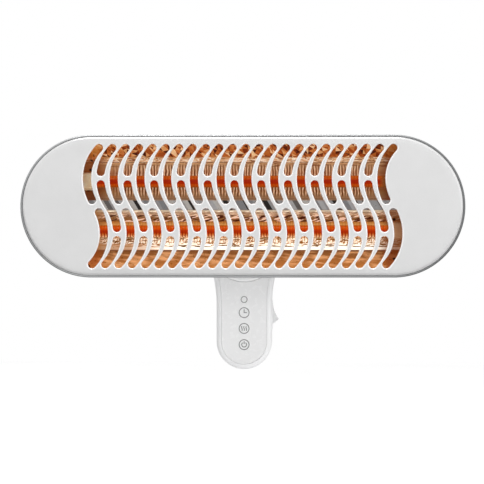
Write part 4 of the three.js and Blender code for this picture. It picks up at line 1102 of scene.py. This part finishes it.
def ceramic_holder(row, name, side, z):
    """A pressed ceramic block with cut corners, a seat for the glass and a bore for the lead."""
    half = CAP["size"] / 2
    piece = block(sideways(side, CAP["inner"], CAP["outer"]), around(BAR["y"], half), around(z, half))
    reopen(piece)
    pick("EDGE", lambda p, n: abs(n.x) > 0.9)
    bpy.ops.mesh.bevel(offset=2.0, segments=1, affect="EDGES")
    round_corners(0.5, 3, least=30)
    leave()
    centre = (BAR["y"], z)
    seat_end = CAP["inner"] + CAP["seat"]
    seat = rod("x", BAR["radius"] + GAP, sideways(side, CAP["inner"] - PAST, seat_end), centre)
    bore = rod("x", CAP["lead"], sideways(side, CAP["inner"] + PAST, CAP["outer"] + PAST), centre)
    cut(piece, seat, bore)
    end = f"{row}_{name}"
    finished(piece, f"ceramic_holder_{end}", "head", "ceramic", [ceramic], [f"ceramic_cap_{end}"])


# ------------------------------------------------------------------ column


def column_front():
    """Moulded front shell: a rounded rim round a shallow recess, hollow behind."""
    floor_y = COLUMN_Y + CONTROL["sheet"] + GAP
    inner_y = floor_y + COLUMN["floor"]
    piece = prism([column_outline(0)], COLUMN_Y, PARTING_Y)
    rounded(piece, COLUMN["edge"], 8, lambda p: p.y < COLUMN_Y + NEAR)
    room = prism([column_outline(WALL)], inner_y, PARTING_Y + PAST)
    rounded(room, COLUMN["edge"] - WALL, 4, lambda p: p.y < inner_y + NEAR)
    recess = prism([column_outline(COLUMN["edge"])], COLUMN_Y - PAST, floor_y)
    window = block(
        (COLUMN["half"] - WALL - 2, COLUMN["half"] + 3),
        around(rocker_axis.y, ROCKER["half_width"] + 2 * GAP + ROCKER["wall"]),
        (rocker_axis.z - ROCKER["bezel_half"] - GAP, rocker_axis.z + ROCKER["bezel_half"] + GAP),
    )
    low, high = corners("cord_gland")
    inlet = rod("z", GLAND["radius"] + GAP, (shell_low.z - PAST, shell_low.z + 6), (0, (low.y + high.y) / 2))
    cut(piece, room, recess, window, inlet)
    rounded(piece, 0.35, 3, lambda p: p.y < COLUMN_Y + 0.6, 30)
    finished(piece, "column_front", "wall_base", "white_plastic", [moulded_white], ["column_front_shell"])


def column_rear():
    """Moulded rear shell, with the hollow that takes the wall plate and two slots for its hooks."""
    low, high = corners("column_rear_shell")
    wall_y = high.y - 5
    piece = prism([column_outline(0)], low.y, high.y)
    rounded(piece, 0.8, 3, lambda p: p.y > high.y - NEAR)
    room = prism([column_outline(WALL)], low.y - PAST, wall_y - WALL)
    recess = prism([column_outline(WALL)], wall_y, high.y + 2)
    depth = (wall_y - 4, wall_y + PAST)
    height = (HOOK["slot"], HOOK["z"] + HOOK["sheet"] + GAP)
    slots = [block(around(side * HOOK["x"], HOOK["half"] + GAP), depth, height) for side in (-1, 1)]
    lock = rod("z", LOCK["bore"], (low.z - PAST, low.z + 5), (0, LOCK["y"]), PIN_ROUND)
    cut(piece, room, recess, lock, *slots)
    finished(piece, "column_rear", "wall_base", "white_plastic", [moulded_white], ["column_rear_shell"])


def bracket_plate():
    """Galvanised wall plate with its hooks, tab and screw holes."""
    sheet = HOOK["sheet"]
    piece = prism([column_outline(4)], -sheet, 0)
    cut(piece, *[rod("y", 3, through(-sheet, 0), (0, z), POST_ROUND) for z in (30, -30, -110)])
    hooks = []
    for side in (-1, 1):
        span = around(side * HOOK["x"], HOOK["half"])
        arm = block(span, (HOOK["reach"], -1), (HOOK["z"], HOOK["z"] + sheet))
        lip = block(span, (HOOK["reach"], HOOK["reach"] + sheet), (HOOK["z"], HOOK["tip"]))
        hooks.append(joined(arm, lip))
    foot = COLUMN["foot_z"] - COLUMN["half"] + WALL + 3
    tab = block((-6, 6), (-5.7, -1), (foot, foot + 4))
    cut(tab, rod("z", LOCK["bore"], through(foot, foot + 4), (0, LOCK["y"]), PIN_ROUND))
    joined(piece, *hooks, tab)
    rounded(piece, 0.3, 2, least=50)
    finished(piece, "bracket_plate", "wall_base", "plate_steel", [galvanised], ["wall_plate"])


def touch_panel():
    """Satin acrylic panel that fills the recess below the round boss, and the window let in to it."""
    back = COLUMN_Y + CONTROL["sheet"]
    panel = prism([column_outline(COLUMN["edge"] + SEAM)], COLUMN_Y, back)
    trimmed(panel, block((-60, 60), (-60, 0), (-200, CONTROL["top"] - GAP)))
    boss = prism([circle(0, barrel_axis.z, DOME["radius"] + GAP, ROUND)], *through(COLUMN_Y, back))
    lamp_hole = rod("y", CONTROL["lens"] + SEAM, through(COLUMN_Y, back), (0, CONTROL["lamp"]))
    cut(panel, boss, lamp_hole)
    rounded(panel, 0.3, 3, lambda p: p.y < COLUMN_Y + NEAR)
    finished(panel, "touch_panel", "wall_base", "panel_plastic", [acrylic], ["control_panel"])
    lens = rod("y", CONTROL["lens"], (COLUMN_Y, back), (0, CONTROL["lamp"]))
    rounded(lens, 0.3, 3, lambda p: p.y < COLUMN_Y + NEAR)
    finished(lens, "indicator_window", "wall_base", "lens_plastic", [lens_plastic], ["indicator_lens"])


def stroke(points, width):
    """A line of even width through points, with square ends, as an outline."""
    half = width / 2
    right, left = [], []
    for i, (x, z) in enumerate(points):
        ax, az = points[max(i - 1, 0)]
        bx, bz = points[min(i + 1, len(points) - 1)]
        length = math.hypot(bx - ax, bz - az)
        nx, nz = (bz - az) / length, (ax - bx) / length
        right.append((x + half * nx, z + half * nz))
        left.append((x - half * nx, z - half * nz))
    return right + left[::-1]


def panel_marks():
    """Printed marks: a clock, a heat level and an on-off sign, each in a ring."""
    line, ring = 0.85, 5.5
    timer, level, power = (CONTROL[mark] for mark in ("timer", "level", "power"))
    drawn = [[circle(0, z, ring), circle(0, z, ring - line)] for z in (timer, level, power)]
    lines = [[(0, timer + 3.4), (0, timer - 0.4)], [(0.4, timer), (3.0, timer)]]
    for x in (-2.2, 0.0, 2.2):
        steps = [k / 12 for k in range(13)]
        lines.append([(x + 0.3 * math.sin(2 * math.pi * step), level - 2.4 + 4.8 * step) for step in steps])
    lines += [arc(0, power, 2.45, 125, 415, 28), [(0, power + 0.6), (0, power + 3.5)]]
    drawn += [[stroke(points, line)] for points in lines]
    pieces = [prism(outlines, *around(COLUMN_Y, 0.05)) for outlines in drawn]
    finished(merged(pieces), "panel_marks", "wall_base", "panel_plastic", [ink])


def rocker_outline():
    """The rocker's side view: a hollow finger face between two tips, straight flanks and a narrow hub."""
    radius, tip, flank = ROCKER["radius"], ROCKER["tip"], math.radians(ROCKER["flank"])
    foot_x = ROCKER["flank_radius"] * math.cos(flank)
    foot_z = ROCKER["flank_radius"] * math.sin(flank)
    chord = radius * math.sin(math.radians(tip))
    depth = radius * math.cos(math.radians(tip))
    hollow = (chord**2 + ROCKER["dish"] ** 2) / (2 * ROCKER["dish"])
    spread = math.degrees(math.asin(chord / hollow))
    lower_tip, upper_tip = arc(0, 0, radius, -tip, tip, 1)
    face = arc(depth + hollow - ROCKER["dish"], 0, hollow, 180 + spread, 180 - spread, 24)[1:-1]
    points = [(foot_x, -foot_z), lower_tip, *face, upper_tip, (foot_x, foot_z)]
    points += arc(0, 0, ROCKER["hub"], 110, 250, 12)
    turn = math.radians(ROCKER["lean"])
    cos, sin = math.cos(turn), math.sin(turn)
    return [(rocker_axis.x + x * cos - z * sin, rocker_axis.z + x * sin + z * cos) for x, z in points]


def rocker():
    """The rocker with its trunnions."""
    half = ROCKER["half_width"]
    piece = prism([rocker_outline()], *around(rocker_axis.y, half))
    rounded(piece, 0.4, 3, least=20)
    span = around(rocker_axis.y, half + GAP + ROCKER["wall"])
    joined(piece, rod("y", 1.5, span, (rocker_axis.x, rocker_axis.z), PIN_ROUND))
    finished(piece, "rocker_key", "rocker", "rocker_plastic", [smooth_white], ["rocker_button"])


def rocker_bezel():
    """The switch body with its raised frame."""
    low, high = corners("rocker_housing")
    inner = ROCKER["half_width"] + GAP
    outer = inner + ROCKER["wall"]
    shell_inner = COLUMN["half"] - WALL - GAP
    x, y, z = rocker_axis
    body = block((low.x, shell_inner), around(y, outer), (low.z, high.z))
    raised = (shell_inner - PAST, COLUMN["half"] + ROCKER["proud"])
    collar = block(raised, around(y, outer), around(z, ROCKER["bezel_half"]))
    joined(body, rounded(collar, 0.4, 3, lambda p: p.x > COLUMN["half"]))
    sweep = rod("y", ROCKER["radius"] + GAP, around(y, inner), (x, z), ROUND)
    trimmed(sweep, block((x - 4.6, 60), (-60, 0), around(z, 40)))
    opening = ROCKER["bezel_half"] - ROCKER["rim"]
    mouth = block((COLUMN["half"] - WALL, 60), around(y, inner), around(z, opening))
    bearing = rod("y", 1.8, through(*around(y, outer)), (x, z), PIN_ROUND)
    cut(body, sweep, mouth, bearing)
    finished(body, "rocker_bezel", "wall_base", "white_plastic", [moulded_white], ["rocker_housing"])


def gland():
    """The bush where the cord leaves, with a collar inside the column."""
    low, high = corners("cord_gland")
    centre = (0, (low.y + high.y) / 2)
    piece = rod("z", GLAND["radius"], (low.z, high.z), centre)
    rounded(piece, 0.8, 4, lambda p: p.z < low.z + NEAR)
    inside = math.sqrt((COLUMN["half"] - WALL) ** 2 - GLAND["collar"] ** 2)
    collar_low = COLUMN["foot_z"] - inside + 2 * GAP
    collar = rod("z", GLAND["collar"], (collar_low, collar_low + 2), centre)
    bore = rod("z", GLAND["bore"], through(low.z, high.z), centre)
    joined(piece, collar)
    cut(piece, bore)
    rounded(piece, 0.3, 3, least=60)
    finished(piece, "cord_bush", "wall_base", "dark_plastic", [polyamide], ["cord_gland"])


# ------------------------------------------------------------------ hinge


def knuckle():
    """The cast knuckle on the head: a bored barrel on a flange."""
    low, high = knuckle_low, knuckle_high
    y, z = barrel_axis.y, barrel_axis.z
    width = (low.x, high.x)
    flange_y = low.y + 3.5
    barrel = rod("x", HINGE["barrel"], width, (y, z), ROUND)
    neck = block(width, (flange_y - PAST, y), around(z, 7))
    flange = block(width, (low.y, flange_y), (z - 10, high.z))
    reopen(flange)
    pick("EDGE", lambda p, n: abs(n.y) > 0.9)
    bpy.ops.mesh.bevel(offset=3, segments=6, affect="EDGES")
    leave()
    joined(barrel, neck, flange)
    holes = [
        rod("x", HINGE["pin"] + GAP, through(*width), (y, z)),
        rod("x", 6.5, (-13, 13), (y, z)),
        block((-12, -2), (y, y + 11), (z - 11, z + 3.5)),
        rod("y", 2.5, (low.y - PAST, y), (WIRE_WAY["x"], z), PIN_ROUND),
    ]
    cut(barrel, *holes)
    rounded(barrel, 0.4, 3, least=50)
    finished(barrel, "tilt_knuckle", "head", "cast_metal", [cast], ["hinge_knuckle"])


def cradle():
    """The cast cradle on the column: a round boss in the top of the column's face, and two ears."""
    y, z = barrel_axis.y, barrel_axis.z
    back = COLUMN_Y + CONTROL["sheet"]
    front = COLUMN_Y - DOME["rise"]
    field = column_outline(COLUMN["edge"] + GAP)
    plate = prism([field], COLUMN_Y, back)
    trimmed(plate, block((-60, 60), (-60, 0), (CONTROL["top"], 60)))
    boss = prism([circle(0, z, DOME["radius"], ROUND)], front, back)
    rounded(boss, DOME["rise"], 6, lambda p: p.y < front + NEAR)
    joined(plate, trimmed(boss, prism([field], *through(front, back))))
    inner = knuckle_high.x + HINGE["washer"] + 2 * GAP
    ears = []
    for side in (-1, 1):
        span = sideways(side, inner, inner + HINGE["ear"])
        ear = rod("x", HINGE["barrel"], span, (y, z), ROUND)
        ears.append(joined(ear, block(span, (y, back - 1), around(z, HINGE["barrel"]))))
    joined(plate, *ears)
    bore = rod("x", HINGE["pin"] + GAP, (-inner - 9, inner + 9), (y, z))
    wire_way = rod("y", WIRE_WAY["radius"], through(front, back), (-WIRE_WAY["x"], z), PIN_ROUND)
    cut(plate, bore, wire_way)
    rounded(plate, 0.4, 3, lambda p: p.y < front - 0.1, 50)
    finished(plate, "tilt_cradle", "wall_base", "cast_metal", [cast], ["hinge_cradle"])


def pivot_and_washer(name, side):
    """One side's slotted pivot, and the friction washer that it runs through."""
    centre = (barrel_axis.y, barrel_axis.z)
    outer = knuckle_high.x + HINGE["washer"] + 3 * GAP + HINGE["ear"]
    tip = outer + HINGE["head"]
    shaft = rod("x", HINGE["pin"], sideways(side, 14, outer + 1), centre)
    head = rod("x", 2 * HINGE["pin"], sideways(side, outer, tip), centre)
    rounded(head, 0.7, 4, lambda p: abs(p.x) > outer + 1)
    cut(head, block(sideways(side, tip - 1.1, tip + PAST), around(centre[0], 9), around(centre[1], 0.8)))
    joined(shaft, head)
    finished(shaft, f"pivot_{name}", "wall_base", "screw_steel", [zinc], [f"tilt_pivot_{name}"])
    inner = knuckle_high.x + GAP
    ring = rod("x", HINGE["barrel"] - 0.5, sideways(side, inner, inner + HINGE["washer"]), centre)
    cut(ring, rod("x", HINGE["pin"] + GAP, sideways(side, inner - PAST, inner + 3), centre))
    rounded(ring, 0.25, 2, least=60)
    finished(ring, f"washer_{name}", "wall_base", "brass", [brass], [f"friction_washer_{name}"])


# ------------------------------------------------------------------ fasteners


def screw(name, body, facing):
    """A pan-head screw with a cross recess. Facing is +1 where its head looks to the wall."""
    low, high = corners(name)
    x, z = (low.x + high.x) / 2, (low.z + high.z) / 2
    thick = 1.8
    top = high.y if facing > 0 else low.y
    head = rod("y", (high.x - low.x) / 2, sorted((top - facing * thick, top)), (x, z), POST_ROUND)
    rounded(head, 0.8, 4, lambda p: abs(p.y - top) < NEAR)
    span = (low.y, high.y - thick + 0.2) if facing > 0 else (low.y + thick - 0.2, high.y)
    joined(head, rod("y", 1.5, span, (x, z), PIN_ROUND))
    depth = sorted((top - facing, top + facing))
    cut(head, *[block(around(x, a), depth, around(z, b)) for a, b in ((1.7, 0.35), (0.35, 1.7))])
    finished(head, f"{name}_finished", body, "screw_steel", [zinc], [name])


# ------------------------------------------------------------------ pieces inside that keep their CAD shape

KEPT = (
    (reflector_metal, "reflector_end_left reflector_end_right"),
    (sleeve, "lead_wire_upper_left lead_wire_upper_right lead_wire_lower_left lead_wire_lower_right"),
    (moulded_white, "terminal_block mains_terminal"),
    (polyamide, "thermal_cutout relay_1 relay_2"),
    (zinc, "hinge_backing_plate cradle_screw_1 cradle_screw_2 lock_screw transformer"),
    (sheath, "head_cable column_cable"),
    (brass, "touch_pad_timer touch_pad_level touch_pad_power"),
    (resist, "control_board power_board"),
)


def dress_kept_nodes():
    """Gives the kept CAD nodes their materials."""
    for material, names in KEPT:
        for name in names.split():
            kept = frame["nodes"][name].data.materials
            kept.clear()
            kept.append(material)


# ------------------------------------------------------------------ floor, light and camera


def seen_directly(rays):
    """1 for rays that the camera sends, also through glass."""
    ways = {0: rays.outputs["Is Camera Ray"], 1: rays.outputs["Is Transmission Ray"]}
    return node(rays.id_data, "Math", ways, operation="MAXIMUM")


def lay_floor():
    """A floor well below the heater, white to the eye and grey where metal mirrors it."""
    floor = start(bpy.ops.mesh.primitive_plane_add, size=FLOOR["size"], location=(0, 0, FLOOR["z"]))
    leave()
    floor.name = "floor"
    floor.scale = (MM, MM, MM)
    apply_place()
    material, tree, shader, place = blank("matt_white_floor")
    rays = node(tree, "LightPath")
    clouds, mirrored = grain(tree, place, 300, 0, 1), rays.outputs["Is Glossy Ray"]
    sockets = {
        "Base Color": layered(tree, "#f4f4f4", (clouds, "#fafafa"), (mirrored, "#9c9c9c")),
        "Roughness": 0.9,
        "Emission Color": "#ffffff",
        "Emission Strength": node(tree, "MapRange", {"Value": seen_directly(rays), "To Max": 0.45}),
    }
    feed_all(shader, sockets)
    give(floor, [material])


def hang_surround():
    """A surround that is white to the eye, and that metal mirrors darker towards the wall, as in a studio."""
    world = bpy.data.worlds.new("surround")
    bpy.context.scene.world = world
    world.use_nodes = True
    tree = world.node_tree
    tree.nodes.clear()
    rays = node(tree, "LightPath")
    heading = node(tree, "SeparateXYZ", {"Vector": node(tree, "TexCoord").outputs["Generated"]}).outputs
    backwards = node(tree, "Math", {0: heading["Z"], 1: -0.6, 2: heading["Y"]}, operation="MULTIPLY_ADD")
    limits = {"From Min": -0.4, "From Max": 0.4, "To Min": 1.0, "To Max": 0.5}
    mirrored = node(tree, "MapRange", {"Value": backwards, **limits})
    seen = node(tree, "Mix", {"Factor": rays.outputs["Is Glossy Ray"], "A": AMBIENT, "B": mirrored})
    seen = node(tree, "Mix", {"Factor": seen_directly(rays), "A": seen, "B": 1.0})
    node(tree, "OutputWorld", {"Surface": node(tree, "Background", {"Color": "#ffffff", "Strength": seen})})


def lamp(name, place, size, power, mirrored):
    """A soft square lamp that looks at the heater's middle; place is in metres."""
    data = bpy.data.lights.new(name, "AREA")
    data.shape = "SQUARE"
    data.size = size
    data.energy = power
    made = placed(name, data)
    made.location = place
    made.rotation_euler = (Vector((0, 0, -0.02)) - Vector(place)).to_track_quat("-Z", "Y").to_euler()
    made.visible_glossy = mirrored


def camera():
    """Three metres from the face, so that one pixel of the frame is one millimetre there."""
    distance, across, sensor = 3000.0, 484.0, 36.0
    azimuth = math.radians(1.25)
    aim = Vector((-0.45, FACE_Y, HEAD_Z - 35.9))
    back = Vector((math.sin(azimuth), -math.cos(azimuth), 0))
    data = bpy.data.cameras.new("camera")
    data.sensor_width = sensor
    data.lens = sensor * distance / across
    data.clip_start, data.clip_end = 0.1, 50
    made = placed("camera", data)
    made.location = (aim + back * distance) * MM
    made.rotation_euler = (-back).to_track_quat("-Z", "Y").to_euler()
    bpy.context.scene.camera = made


bpy.context.scene.view_settings.view_transform = "Standard"
camera()
lay_floor()
hang_surround()
lamp("key", (1.9, -2.1, 0.25), 1.6, 27, False)
lamp("top", (-0.2, -0.7, 2.2), 1.0, 24, True)

for build in (grille_panel, trim_band, housing_shell, reflector_sheet):
    build()
for row, bar_z in (("upper", HEAD_Z + BAR_Z), ("lower", HEAD_Z - BAR_Z)):
    heating_bar(row, bar_z)
    for end_name, end_side in (("left", -1), ("right", 1)):
        ceramic_holder(row, end_name, end_side, bar_z)
for build in (column_front, column_rear, bracket_plate, touch_panel, panel_marks):
    build()
for build in (rocker, rocker_bezel, gland, knuckle, cradle):
    build()
pivot_and_washer("left", -1)
pivot_and_washer("right", 1)
for i in (1, 2, 3, 4):
    screw(f"housing_screw_{i}", "head", 1)
for i in (1, 2):
    screw(f"knuckle_screw_{i}", "head", 1)
    screw(f"shell_screw_{i}", "wall_base", 1)
for side_name in ("left", "right"):
    screw(f"reflector_screw_{side_name}", "head", -1)
dress_kept_nodes()
